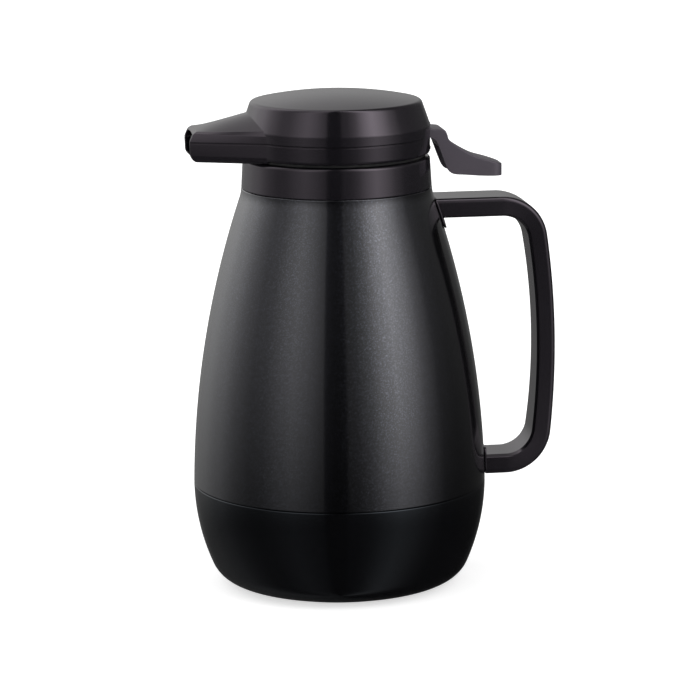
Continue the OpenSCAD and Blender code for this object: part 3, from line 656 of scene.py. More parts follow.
@dataclass
class Vessel:
    """Shell, neck collar, base cup and foot ring, in millimetres as in the CAD."""

    belly_r: float = 70.1
    base_line_z: float = 49.3
    shell_top_z: float = 191.8
    neck_r: float = 45.3
    side_arc_r: float = 455.0
    side_arc_z: float = 41.0
    shell_wall: float = 2.2
    base_arc_r: float = 100.0
    base_arc_z: float = 50.0
    base_corner_r: float = 14.8
    base_wall: float = 2.4
    base_floor_z: float = 4.8
    foot_lift: float = 1.2
    foot_r: float = 46.8
    foot_w: float = 4.4
    groove_top_z: float = 3.0
    cap_bore_r: float = 36.0
    cap_collar_top_z: float = 12.0
    collar_top_z: float = 206.3
    thread_bore_r: float = 37.0
    collar_wall: float = 2.3
    seat_bore_r: float = 25.4
    seat_flange_z: float = 188.0
    locator_r: float = 31.2
    locator_wall: float = 1.8
    locator_h: float = 6.0
    line_edge: float = 0.45
    line_gap: float = 0.25
    collar_top_r: float = 44.35
    lip_h: float = 5.0
    lip_t: float = 1.7
    lip_gap: float = 0.5
    foot_gap: float = 0.1
    foot_sunk: float = 1.7
    skirt_gap: float = 0.25
    pocket_gap: float = 0.8
    band_step: float = 0.1
    band_gap: float = 0.05

    def seam_r(self) -> float:
        """Return the radius at the line between base cup and shell."""
        return (self.belly_r - self.base_arc_r
                + np.sqrt(self.base_arc_r ** 2 - (self.base_line_z - self.base_arc_z) ** 2))

    def shell_r(self, z: Array, inset: float = 0.0) -> Array:
        """Return the shell's radius: a long arc that a fillet brings upright at the neck.

        Args:
            z: Heights.
            inset: Distance inside the outer face.

        Returns:
            Radii.
        """
        drop = self.base_line_z - self.side_arc_z
        side_x = self.seam_r() - np.sqrt(self.side_arc_r ** 2 - drop ** 2)
        dx, dz = self.neck_r - side_x, self.shell_top_z - self.side_arc_z
        fillet = (dx ** 2 + dz ** 2 - self.side_arc_r ** 2) / (2 * (self.side_arc_r - dx))
        turn_z = self.side_arc_z + dz * (self.side_arc_r - inset) / (self.side_arc_r + fillet)
        side = side_x + np.sqrt(
            np.maximum((self.side_arc_r - inset) ** 2 - (z - self.side_arc_z) ** 2, 0))
        neck = self.neck_r + fillet - np.sqrt(
            np.maximum((fillet + inset) ** 2 - (z - self.shell_top_z) ** 2, 0))
        return np.where(z < turn_z, side, neck)

    def base_outline(self, inset: float) -> Array:
        """Return the cup's outline: the bottom rounding, then the side arc.

        Args:
            inset: Distance inside the outer face.

        Returns:
            Array of (n, 2), with radius and height.
        """
        corner_z = self.foot_lift + self.base_corner_r
        reach = self.base_arc_r - self.base_corner_r
        arc_x, side_r = self.belly_r - self.base_arc_r, self.base_arc_r - inset
        corner_x = arc_x + np.sqrt(reach ** 2 - (self.base_arc_z - corner_z) ** 2)
        turn = np.degrees(np.arcsin((self.base_arc_z - corner_z) / reach))
        top = np.degrees(np.arcsin((self.base_arc_z - self.base_line_z) / side_r))
        corner = polar((corner_x, corner_z), self.base_corner_r - inset, -90, -turn, 28)
        side = polar((arc_x, self.base_arc_z), side_r, -turn, -top, 28)
        return np.concatenate([corner, side[1:]])

    def shell(self) -> Skin:
        """Return the shell: outer face up, rolled top edge, inner face down, and the lip in the cup.

        Returns:
            The skin, facing outwards.
        """
        up = np.linspace(self.base_line_z + self.line_gap, self.shell_top_z, 120)
        lip_r = self.seam_r() - self.base_wall - self.lip_gap
        down = np.linspace(self.shell_top_z, self.base_line_z + 3, 60)
        outer = np.stack([self.shell_r(up), up], axis=-1)
        inner = np.stack([self.shell_r(down, self.shell_wall), down], axis=-1)
        lip_z = self.base_line_z - self.lip_h
        lip = np.array([[lip_r - self.lip_t, lip_z], [lip_r, lip_z], [lip_r, self.base_line_z]])
        radii = np.zeros(len(outer) + len(inner) + len(lip))
        radii[[0, len(outer) - 1]] = self.line_edge
        radii[len(outer)] = self.line_edge
        return turned(bend_corners(np.concatenate([outer, inner, lip]), radii))

    def cup(self) -> Skin:
        """Return the cup: floor, groove for the foot ring, rounded side, wall and threaded collar.

        Returns:
            The skin, facing outwards.
        """
        outer, inner = self.base_outline(0), self.base_outline(self.base_wall)[::-1]
        inner = inner[inner[:, 1] > self.base_floor_z]
        hub_r = self.cap_bore_r + self.base_wall
        groove_in, groove_out = self.foot_r - self.foot_w - self.foot_gap, self.foot_r + self.foot_gap
        start = np.array([[self.cap_bore_r, self.foot_lift],
                          [groove_in, self.foot_lift], [groove_in, self.groove_top_z],
                          [groove_out, self.groove_top_z], [groove_out, self.foot_lift]])
        end = np.array([[outer[0, 0], self.base_floor_z], [hub_r, self.base_floor_z],
                        [hub_r, self.cap_collar_top_z], [self.cap_bore_r, self.cap_collar_top_z]])
        radii = np.concatenate([[0.4, 0.2, 0, 0, 0.2], np.zeros(len(outer) - 1), [self.line_edge],
                                [self.line_edge], np.zeros(len(inner) - 1), [0, 0.8, 0.4, 0.4]])
        return turned(bend_corners(np.concatenate([start, outer, inner, end]), radii))

    def foot(self) -> Skin:
        """Return the rubber ring that the carafe stands on.

        Returns:
            The skin, facing outwards.
        """
        inner_r, top = self.foot_r - self.foot_w, self.foot_lift + self.foot_sunk
        corners = np.array([[inner_r, 0], [self.foot_r, 0], [self.foot_r, top], [inner_r, top]])
        return turned(bend_corners(corners, [0.6, 0.6, 0.2, 0.2]))

    def collar(self) -> Skin:
        """Return the collar: seat flange, locating skirt, outer band and threaded bore.

        Returns:
            The skin, facing outwards.
        """
        outer_r = self.neck_r - self.band_step
        skirt_r = self.neck_r - self.shell_wall - self.skirt_gap
        band_z = self.shell_top_z + self.band_gap
        pocket_out, pocket_in = skirt_r - self.collar_wall, self.thread_bore_r + self.collar_wall
        pocket_z = self.collar_top_z - self.collar_wall - self.pocket_gap
        seat_top = self.seat_flange_z + self.collar_wall
        low = self.seat_flange_z - self.locator_h
        corners = np.array([
            [self.seat_bore_r, self.seat_flange_z], [self.locator_r, self.seat_flange_z],
            [self.locator_r, low], [self.locator_r + self.locator_wall, low],
            [self.locator_r + self.locator_wall, self.seat_flange_z],
            [pocket_in, self.seat_flange_z], [pocket_in, pocket_z], [pocket_out, pocket_z],
            [pocket_out, self.seat_flange_z], [skirt_r, self.seat_flange_z],
            [skirt_r, band_z], [outer_r, band_z],
            [self.collar_top_r, self.collar_top_z], [self.thread_bore_r, self.collar_top_z],
            [self.thread_bore_r, seat_top], [self.seat_bore_r, seat_top]])
        radii = [0.3, 0, 0.4, 0.4, 0, 0.3, 0.4, 0.4, 0.3, 0.3, 0, 0.5, 1.4, 0.9, 0.8, 0.5]
        return turned(bend_corners(corners, radii))


@dataclass
class Thread:
    """Four-start trapezoid thread between stopper and collar, right-handed."""

    lead: float = 16.0
    starts: int = 4
    run_deg: float = 200.0
    start_z: float = 195.2
    collar_root_r: float = 37.05
    collar_crest_r: float = 35.85
    stopper_root_r: float = 35.35
    stopper_crest_r: float = 36.55
    root_half_w: float = 0.8
    crest_half_w: float = 0.35
    crest_edge_r: float = 0.25
    fade_power: float = 0.12
    fade_least: float = 0.05
    steps: int = 90

    def ridge(self, root_r: float, crest_r: float, start_deg: float) -> Skin:
        """Return one ridge: a trapezoid carried along a helix that rises by the lead in a turn.

        Its height sinks at both ends, by a small power of the sine of its share of the run.

        Args:
            root_r: Radius where it joins its wall.
            crest_r: Radius of its crest.
            start_deg: Angle where it starts.

        Returns:
            The skin, facing outwards.
        """
        run = np.linspace(0, self.run_deg, self.steps)
        turn = np.radians(start_deg + run)
        fade = np.abs(np.sin(np.pi * np.linspace(0, 1, self.steps))) ** self.fade_power
        fade = np.maximum(fade, self.fade_least)[:, None]
        rise = self.start_z + self.lead * run[:, None] / 360
        radius = root_r + np.array([0, 1, 1, 0]) * (crest_r - root_r) * fade
        half = np.array([-self.root_half_w, -self.crest_half_w, self.crest_half_w, self.root_half_w])
        profiles = np.stack([radius, rise + half], axis=-1)
        rounded = bend_corners(profiles, [0, self.crest_edge_r, self.crest_edge_r, 0], steps=3)
        return tube(around_axis(rounded, turn))

    def collar_ridges(self) -> list[Skin]:
        """Return the ridges inside the collar."""
        return [self.ridge(self.collar_root_r, self.collar_crest_r, 360 * k / self.starts)
                for k in range(self.starts)]

    def stopper_ridges(self) -> list[Skin]:
        """Return the ridges on the stopper, midway between the collar's."""
        return [self.ridge(self.stopper_root_r, self.stopper_crest_r, 360 * (k + 0.5) / self.starts)
                for k in range(self.starts)]


@dataclass(frozen=True)
class SpoutEnd:
    """Section of the spout at one end: place, half width, both creases, their lean and the crown."""

    x: float
    half_w: float
    low_crease_z: float
    high_crease_z: float
    bevel: float
    crown: float


@dataclass
class Lid:
    """Cap, lower ring, spout and the stopper below them, in millimetres as in the CAD."""

    floor_z: float = 207.9
    seam_z: float = 215.6
    cap_z: float = 216.2
    tongue_z: float = 216.12
    seam_d: float = 0.35
    shoulder_z: float = 221.0
    rim_z: float = 232.8
    dome_h: float = 4.4
    rim_round: float = 4.0
    lid_r: float = 44.6
    rim_r: float = 40.5
    wall: float = 2.2
    lid_floor: float = 1.6
    ledge_z: float = 212.0
    cover_z: float = 212.6
    spigot_r: float = 33.9
    lip_r: float = 42.0
    lip_t: float = 1.6
    ledge_w: float = 1.4
    slot_half_w: float = 10.2
    slot_top_z: float = 221.5
    pocket_x: float = 41.3
    pocket_top_z: float = 213.8
    window_half_w: float = 17.0
    spout_tip: SpoutEnd = SpoutEnd(-70.8, 12.5, 220.3, 221.2, 0.8, 0.3)
    spout_root: SpoutEnd = SpoutEnd(-36.6, 25.6, 219.9, 222.1, 1.7, 7.3)
    spout_floor_z: float = 206.5
    mouth_bow: float = 3.3
    spout_wall: float = 2.0
    spout_corner_r: float = 3.2
    spout_sunk: float = 1.0
    seam_land: float = 0.7
    mouth_edge_r: float = 0.6
    lip_h: float = 2.2
    ring_draft: float = 0.2
    spigot_gap: float = 0.1
    slot_columns: int = 25
    round_columns: int = 230
    slot_gap_deg: float = 0.03
    slot_slack: float = 0.005
    tab: tuple[tuple[float, float], ...] = (
        (40.2, 208.2), (44.9, 208.2), (44.9, 210.1), (43.3, 211.2), (40.2, 211.2))
    tab_half_w: float = 3.2
    stopper_r: float = 35.4
    insert_r: float = 24.2
    insert_in: float = 22.0
    insert_z: float = 173.7
    step_z: float = 192.7
    seat_hole_r: float = 10.5
    mouth_seal_z: float = 190.4
    skirt_t: float = 3.6
    insert_t: float = 2.4
    seal_margin: float = 1.4
    gasket_in: float = 37.8
    gasket_out: float = 42.3
    gasket_z: float = 206.4

    def dome_z(self, r: Array, inset: float = 0.0) -> Array:
        """Return the dome's height: a shallow spherical cap from the rim up to the axis.

        Args:
            r: Radii.
            inset: Distance below the outer face.

        Returns:
            Heights.
        """
        ball = (self.rim_r ** 2 + self.dome_h ** 2) / (2 * self.dome_h)
        return self.rim_z + self.dome_h - inset - ball + np.sqrt(ball ** 2 - r ** 2)

    def columns(self) -> Array:
        """Return the angles of the lid's columns, doubled at both sides of the lever's slot.

        Returns:
            Angles in radians, from one side of the slot round to itself.
        """
        slot = np.degrees(np.arcsin(self.slot_half_w / self.lid_r))
        inside = np.linspace(-slot, slot, self.slot_columns)
        past = slot + self.slot_gap_deg
        outside = np.linspace(past, 360 - past, self.round_columns)
        return np.radians(np.concatenate([inside, outside]))

    def in_slot(self, turn: Array) -> Array:
        """Return which columns lie in the lever's slot."""
        side = np.abs(self.lid_r * np.sin(turn)) <= self.slot_half_w + self.slot_slack
        return side & (np.cos(turn) > 0)

    def cap(self) -> Skin:
        """Return the cap: side, slope, rim and dome, its hollow, and the slot over the lever.

        Returns:
            The skin, facing outwards.
        """
        out_r = np.linspace(self.rim_r - self.rim_round, 0, 37)
        in_r = np.linspace(0, self.rim_r - self.wall, 24)
        outer = np.array([[self.lid_r, self.cap_z], [self.lid_r, self.shoulder_z],
                          [self.rim_r, self.rim_z]])
        dome = np.stack([out_r, self.dome_z(out_r)], axis=-1)
        hollow = np.stack([in_r, self.dome_z(in_r, self.wall)], axis=-1)
        inner = np.array([[self.lid_r - self.wall, self.shoulder_z - self.wall / 4],
                          [self.lid_r - self.wall, self.cap_z]])
        corners = np.concatenate([outer, dome, hollow, inner])
        radii = np.zeros(len(corners))
        radii[[0, 1, 2]] = [0.4, 3.0, 2.2]
        radii[-1] = 0.3
        profile = bend_corners(corners, radii)
        turn = self.columns()
        profiles = np.repeat(profile[None], turn.size, axis=0)
        cut = self.in_slot(turn)[:, None]
        height = profiles[..., 1]
        profiles[..., 1] = np.where(cut, np.maximum(height, self.slot_top_z), height)
        return tube(around_axis(profiles, turn), True)

    def ring_profile(self) -> tuple[Array, Array]:
        """Return the lower ring's outline.

        Returns:
            Corners of radius and height, and the radius of the rounding at each.
        """
        inner, hole_r = self.lip_r - self.lip_t, self.spigot_r + self.spigot_gap
        lip_top, floor_top = self.cap_z + self.lip_h, self.floor_z + self.lid_floor
        corners = np.array([
            [hole_r, self.floor_z], [self.lid_r - self.ring_draft, self.floor_z],
            [self.lid_r, self.seam_z], [self.lid_r - self.seam_d, self.seam_z],
            [self.lid_r - self.seam_d, self.tongue_z], [self.lip_r, self.tongue_z],
            [self.lip_r, lip_top], [inner, lip_top],
            [inner, self.ledge_z], [inner - self.ledge_w, self.ledge_z],
            [inner - self.ledge_w, floor_top], [hole_r, floor_top]])
        return corners, np.array([0.2, 1.2, 0.3, 0, 0, 0, 0.3, 0.3, 0.2, 0.2, 0.3, 0.2])

    def ring(self) -> list[Skin]:
        """Return the lower ring, with the lever's pocket behind and the spout's window in front.

        Returns:
            The ring, and the floor and the lip that bridge the window.
        """
        profile = bend_corners(*self.ring_profile())
        window = np.degrees(np.arcsin(self.window_half_w / self.lid_r))
        all_turn = np.degrees(self.columns())
        turn = np.radians(np.concatenate([
            [-180 + window], all_turn[all_turn > 180 + window] - 360,
            all_turn[all_turn < 180 - window], [180 - window]]))
        profiles = np.repeat(profile[None], turn.size, axis=0)
        cut = self.in_slot(turn)[:, None]
        reach = self.pocket_x / np.cos(turn)[:, None]
        radius, height = profiles[..., 0].copy(), profiles[..., 1].copy()
        profiles[..., 0] = np.where(cut, np.minimum(radius, reach), radius)
        profiles[..., 1] = np.where(cut, np.minimum(height, self.pocket_top_z), height)
        main = tube(around_axis(profiles, turn))
        inner, hole_r = self.lip_r - self.lip_t, self.spigot_r + self.spigot_gap
        lip_top, floor_top = self.cap_z + self.lip_h, self.floor_z + self.lid_floor
        web_r = self.lid_r - self.spout_sunk
        low = np.array([[hole_r, self.floor_z], [web_r, self.floor_z],
                        [web_r, floor_top], [hole_r, floor_top]])
        high = np.array([[inner, self.cover_z], [web_r, self.cover_z], [web_r, self.seam_z],
                         [self.lip_r, self.seam_z], [self.lip_r, lip_top], [inner, lip_top]])
        span = (180 - window, 180 + window)
        return [main, turned(low, *span, 48), turned(high, *span, 48)]

    def pocket_tab(self) -> Skin:
        """Return the small stop tab in the lever's pocket: an outline in X and Z drawn out along Y.

        The outline shrinks a little at both ends, which rounds the tab's edges.

        Returns:
            The skin, facing outwards.
        """
        corners = np.array(self.tab)
        outline = bend_corners(corners, [0.3, 0.6, 0.8, 0.6, 0.3])
        w = self.tab_half_w
        along = np.array([-w, 0.1 - w, 0.4 - w, w - 0.4, w - 0.1, w])
        shrink = np.array([0.3, 0.1, 0.0, 0.0, 0.1, 0.3])[:, None]
        middle = corners.mean(axis=0)
        x = outline[:, 0] - shrink * np.sign(outline[:, 0] - middle[0])
        z = outline[:, 1] - shrink * np.sign(outline[:, 1] - middle[1])
        return tube(np.stack([x, np.broadcast_to(along[:, None], x.shape), z], axis=-1))

    def lid_radius(self, z: Array) -> Array:
        """Return the radius where the spout's walls end, a little inside the lid's outer face."""
        slope = (z - self.shoulder_z) * (self.lid_r - self.rim_r) / (self.rim_z - self.shoulder_z)
        return self.lid_r - self.spout_sunk - np.maximum(slope, 0)

    def spout_line(self, end: SpoutEnd, inset: float, upper: bool) -> Array:
        """Return the spout's section at one end, across Y and Z, with its corners rounded.

        Above the seam each side leans in between two creases, and the roof is a parabola that rises
        by the crown in the middle. Below the seam the floor is flat, and a tongue stands up inside
        the seam.

        Args:
            end: End of the spout.
            inset: Distance inside the outer face.
            upper: Whether it is the cap's half, above the seam.

        Returns:
            Array of (m, 2).
        """
        w, land = end.half_w - inset, self.seam_land
        if upper:
            into = -land if inset else land
            u = np.linspace(-1, 1, 33)
            roof = end.high_crease_z - inset + end.crown * (1 - u ** 2)
            middle = np.stack([(w - end.bevel) * u, roof], axis=-1)
            side = np.array([[-w + into, self.cap_z], [-w, self.cap_z], [-w, end.low_crease_z - inset]])
            radii = np.concatenate([[0, 0.3, 0.4, 0.4], np.zeros(31), [0.4, 0.4, 0.3, 0]])
        else:
            z0 = self.spout_floor_z + inset
            middle = np.array([[-w, z0], [w, z0]])
            if inset:
                # Two of these points lie on a straight edge, so that both faces have equally many
                side = np.array([[-w - land, self.tongue_z], [-w - 0.4, self.tongue_z],
                                 [-w - 0.1, self.tongue_z], [-w, self.tongue_z]])
            else:
                side = np.array([[-w + land, self.tongue_z], [-w + self.seam_d, self.tongue_z],
                                 [-w + self.seam_d, self.seam_z], [-w, self.seam_z]])
            corner = max(self.spout_corner_r - inset, 0.8)
            radii = np.array([0, 0, 0, 0.3, corner, corner, 0.3, 0, 0, 0])
        line = np.concatenate([side, middle, side[::-1] * [-1, 1]])
        return bend_corners(line, radii, closed=False, steps=8)

    def spout_half(self, upper: bool) -> Skin:
        """Return one half of the spout.

        Straight lines join each point of the mouth's section to its twin in the root's section, and
        end where they meet the lid. The rim at the mouth is rounded between outer and inner face.

        Args:
            upper: Whether it is the cap's half, above the seam.

        Returns:
            The skin, facing outwards.
        """
        faces = []
        for inset in (0.0, self.spout_wall):
            tip = self.spout_line(self.spout_tip, inset, upper)
            root = self.spout_line(self.spout_root, inset, upper)
            # Seen from the side the mouth bows out: it steps back by the fourth power of the height
            top_z = self.spout_tip.high_crease_z
            mid_z = (top_z + self.spout_floor_z) / 2
            bow = self.mouth_bow * ((tip[:, 1] - mid_z) / (top_z - mid_z)) ** 4
            tip = np.column_stack([self.spout_tip.x + np.minimum(bow, 1.2 * self.mouth_bow), tip])
            root = np.column_stack([np.full(len(root), self.spout_root.x), root])
            # Each line's end is found by halving the stretch between a share outside and one inside
            low, high = np.zeros(len(tip)), np.full(len(tip), 1.1)
            for _ in range(30):
                middle = (low + high) / 2
                spot = tip + middle[:, None] * (root - tip)
                outside = np.hypot(spot[:, 0], spot[:, 1]) > self.lid_radius(spot[:, 2])
                low, high = np.where(outside, middle, low), np.where(outside, high, middle)
            end = tip + low[:, None] * (root - tip)
            faces.append((tip, end))
        (out_tip, out_end), (in_tip, in_end) = faces
        rows = 13
        share = np.linspace(1, 0, rows + 1)[:-1, None, None]
        outer = out_tip + share * (out_end - out_tip)
        inner = in_tip + share[::-1] * (in_end - in_tip)
        path = np.concatenate([outer, out_tip[None], in_tip[None], inner]).transpose(1, 0, 2)
        radii = np.zeros(path.shape[1])
        radii[rows:rows + 2] = self.mouth_edge_r
        return tube(bend_corners(path, radii))

    def stopper(self) -> Skin:
        """Return the stopper: skirt with its spigot, step, insert and valve seat.

        Returns:
            The skin, facing outwards.
        """
        skirt_in, shoulder_z = self.stopper_r - self.skirt_t, self.floor_z - self.spigot_gap
        spigot_top = self.floor_z + self.lid_floor
        step_top, seat_top = self.step_z + self.insert_t, self.insert_z + self.insert_t
        corners = np.array([
            [self.seat_hole_r, self.insert_z], [self.insert_r, self.insert_z],
            [self.insert_r, self.step_z], [self.stopper_r, self.step_z],
            [self.stopper_r, shoulder_z], [self.spigot_r, shoulder_z],
            [self.spigot_r, spigot_top], [skirt_in, spigot_top], [skirt_in, step_top],
            [self.insert_in, step_top], [self.insert_in, seat_top], [self.seat_hole_r, seat_top]])
        return turned(bend_corners(corners, [0.5, 1.5, 0.4, 0.8, 0.3, 0, 0.2, 0.3, 0.5, 0.4, 0.8, 0.5]))

    def mouth_seal(self) -> Skin:
        """Return the seal under the stopper's step, with a rounded sealing edge.

        Returns:
            The skin, facing outwards.
        """
        r_in, r_out = self.insert_r + self.spigot_gap, self.stopper_r - self.seal_margin
        corners = np.array([[r_in, self.mouth_seal_z], [r_out, self.mouth_seal_z],
                            [r_out, self.step_z], [r_in, self.step_z]])
        return turned(bend_corners(corners, [0.3, 0.9, 0.3, 0.2]))

    def ring_gasket(self) -> Skin:
        """Return the ring in the dark gap between collar and lid.

        Returns:
            The skin, facing outwards.
        """
        low, high = self.gasket_z, self.floor_z - self.spigot_gap
        corners = np.array([[self.gasket_in, low], [self.gasket_out, low],
                            [self.gasket_out, high], [self.gasket_in, high]])
        return turned(bend_corners(corners, [0.3, 0.4, 0.4, 0.3]))


@dataclass
class Handle:
    """Loop handle: a flat bar, waisted at the grip, with a thin plate against the shell at each end."""

    vessel: Vessel
    width: float = 24.5
    grip_w: float = 18.6
    top_t: float = 9.4
    grip_t: float = 8.8
    low_t: float = 9.3
    reach: float = 99.95
    top_z: float = 181.0
    low_z: float = 55.5
    grip_arc_r: float = 343.0
    grip_arc_z: float = 112.0
    top_corner: float = 17.8
    low_corner: float = 17.7
    outer_edge_r: float = 2.0
    bevel_w: float = 2.3
    bevel_t: float = 1.0
    plate_t: float = 1.0
    plate_gap: float = 0.22
    plate_past_top: float = 4.8
    plate_past_low: float = 3.8
    plate_corner_r: float = 2.5
    plate_margin: float = 0.2
    plate_edge: float = 1.5
    plate_edge_r: float = 0.35
    inner_edge_r: float = 0.5
    bevel_edge_r: float = 0.4
    waist_power: float = 0.6

    def path(self) -> Array:
        """Return the bar's centre line: an arc at each corner and a long arc along the grip.

        Returns:
            Array of (n, 3): x, z, and the angle of the outward direction in degrees.
        """
        grip_x = self.reach - self.grip_arc_r
        centres = []
        for level, corner in ((self.top_z - self.top_corner, self.top_corner),
                              (self.low_z + self.low_corner, self.low_corner)):
            x = grip_x + np.sqrt((self.grip_arc_r - corner) ** 2 - (level - self.grip_arc_z) ** 2)
            centres.append((x, level, np.degrees(np.arctan2(level - self.grip_arc_z, x - grip_x))))
        (top_x, top_z, top_turn), (low_x, low_z, low_turn) = centres
        runs = []
        for centre, radius, start, stop, count in (
                ((top_x, top_z), self.top_corner, 90, top_turn, 28),
                ((grip_x, self.grip_arc_z), self.grip_arc_r, top_turn, low_turn, 40),
                ((low_x, low_z), self.low_corner, low_turn, -90, 28)):
            arc = polar(centre, radius, start, stop, count)
            runs.append(np.column_stack([arc, np.linspace(start, stop, count)])[1:])
        first = np.array([[top_x, self.top_z, 90.0]])
        return np.concatenate([first] + runs)

    def sections(self, z: Array) -> Array:
        """Return the bar's section at heights: round edges outside, a bevel along each edge inside.

        Width and thickness ease from the feet to the grip by a power of the sine of the height.

        Args:
            z: Heights on the centre line.

        Returns:
            Array of (heights, points, 2): across the bar, and outwards through it.
        """
        share = np.clip((z - self.low_z) / (self.top_z - self.low_z), 0, 1)
        waist = np.sin(np.pi * share) ** self.waist_power
        w = (self.width + (self.grip_w - self.width) * waist) / 2
        ends = self.low_t + (self.top_t - self.low_t) * share
        t = (ends + (self.grip_t - (self.top_t + self.low_t) / 2) * waist) / 2
        across = np.stack([-w, -w, w, w, w - self.bevel_w, self.bevel_w - w], axis=-1)
        through = np.stack([self.bevel_t - t, t, t, self.bevel_t - t, -t, -t], axis=-1)
        radii = [self.inner_edge_r, self.outer_edge_r, self.outer_edge_r, self.inner_edge_r,
                 self.bevel_edge_r, self.bevel_edge_r]
        return bend_corners(np.stack([across, through], axis=-1), radii)

    def bar(self) -> Skin:
        """Return the bar: its section carried along the centre line, and on into both plates.

        Returns:
            The skin, facing outwards.
        """
        path = self.path()
        section = self.sections(path[:, 1])
        lean = np.radians(path[:, 2])[:, None]
        s, d = section[..., 0], section[..., 1]
        rings = np.stack([path[:, 0:1] + d * np.cos(lean), s, path[:, 1:2] + d * np.sin(lean)], axis=-1)
        ends = []
        for ring in (rings[0], rings[-1]):
            x = np.sqrt(self.vessel.shell_r(ring[:, 2]) ** 2 - ring[:, 1] ** 2)
            ends.append(np.column_stack([x + self.plate_gap + self.plate_t / 2, ring[:, 1:]])[None])
        return tube(np.concatenate([ends[0], rings, ends[1]]))

    def plate(self, top: bool) -> Skin:
        """Return one plate: a rounded outline bent round the shell, drawn in towards its middle.

        Args:
            top: Whether it is the upper plate.

        Returns:
            The skin, facing outwards.
        """
        if top:
            low = self.top_z - self.top_t / 2 - self.plate_past_top
            high = self.top_z + self.top_t / 2
        else:
            low = self.low_z - self.low_t / 2
            high = self.low_z + self.low_t / 2 + self.plate_past_low
        half_w, half_h = self.width / 2 + self.plate_margin, (high - low) / 2
        middle = (high + low) / 2
        corners = np.array([[-half_w, -half_h], [half_w, -half_h],
                            [half_w, half_h], [-half_w, half_h]])
        outline = bend_corners(corners, [self.plate_corner_r] * 4, steps=8)
        back, front = self.plate_gap, self.plate_gap + self.plate_t
        reach = np.array([[self.plate_edge, back], [0, back], [0, front], [self.plate_edge, front]])
        edge = bend_corners(reach, [0, self.plate_edge_r, self.plate_edge_r, 0], closed=False)
        # Rings inside the outline on both faces, as shares of its size
        inward = np.array([0.03, 0.35, 0.7])
        flat = np.full(inward.size, self.plate_edge)
        share = np.concatenate([inward, np.ones(len(edge)), inward[::-1]])[:, None]
        cut = np.concatenate([flat, edge[:, 0], flat])[:, None]
        off = np.concatenate([np.full(inward.size, back), edge[:, 1],
                              np.full(inward.size, front)])[:, None]
        s = outline[:, 0] * share * (1 - cut / half_w)
        z = middle + outline[:, 1] * share * (1 - cut / half_h)
        x = np.sqrt(self.vessel.shell_r(z) ** 2 - s ** 2) + off
        return tube(np.stack([x, s, z], axis=-1))


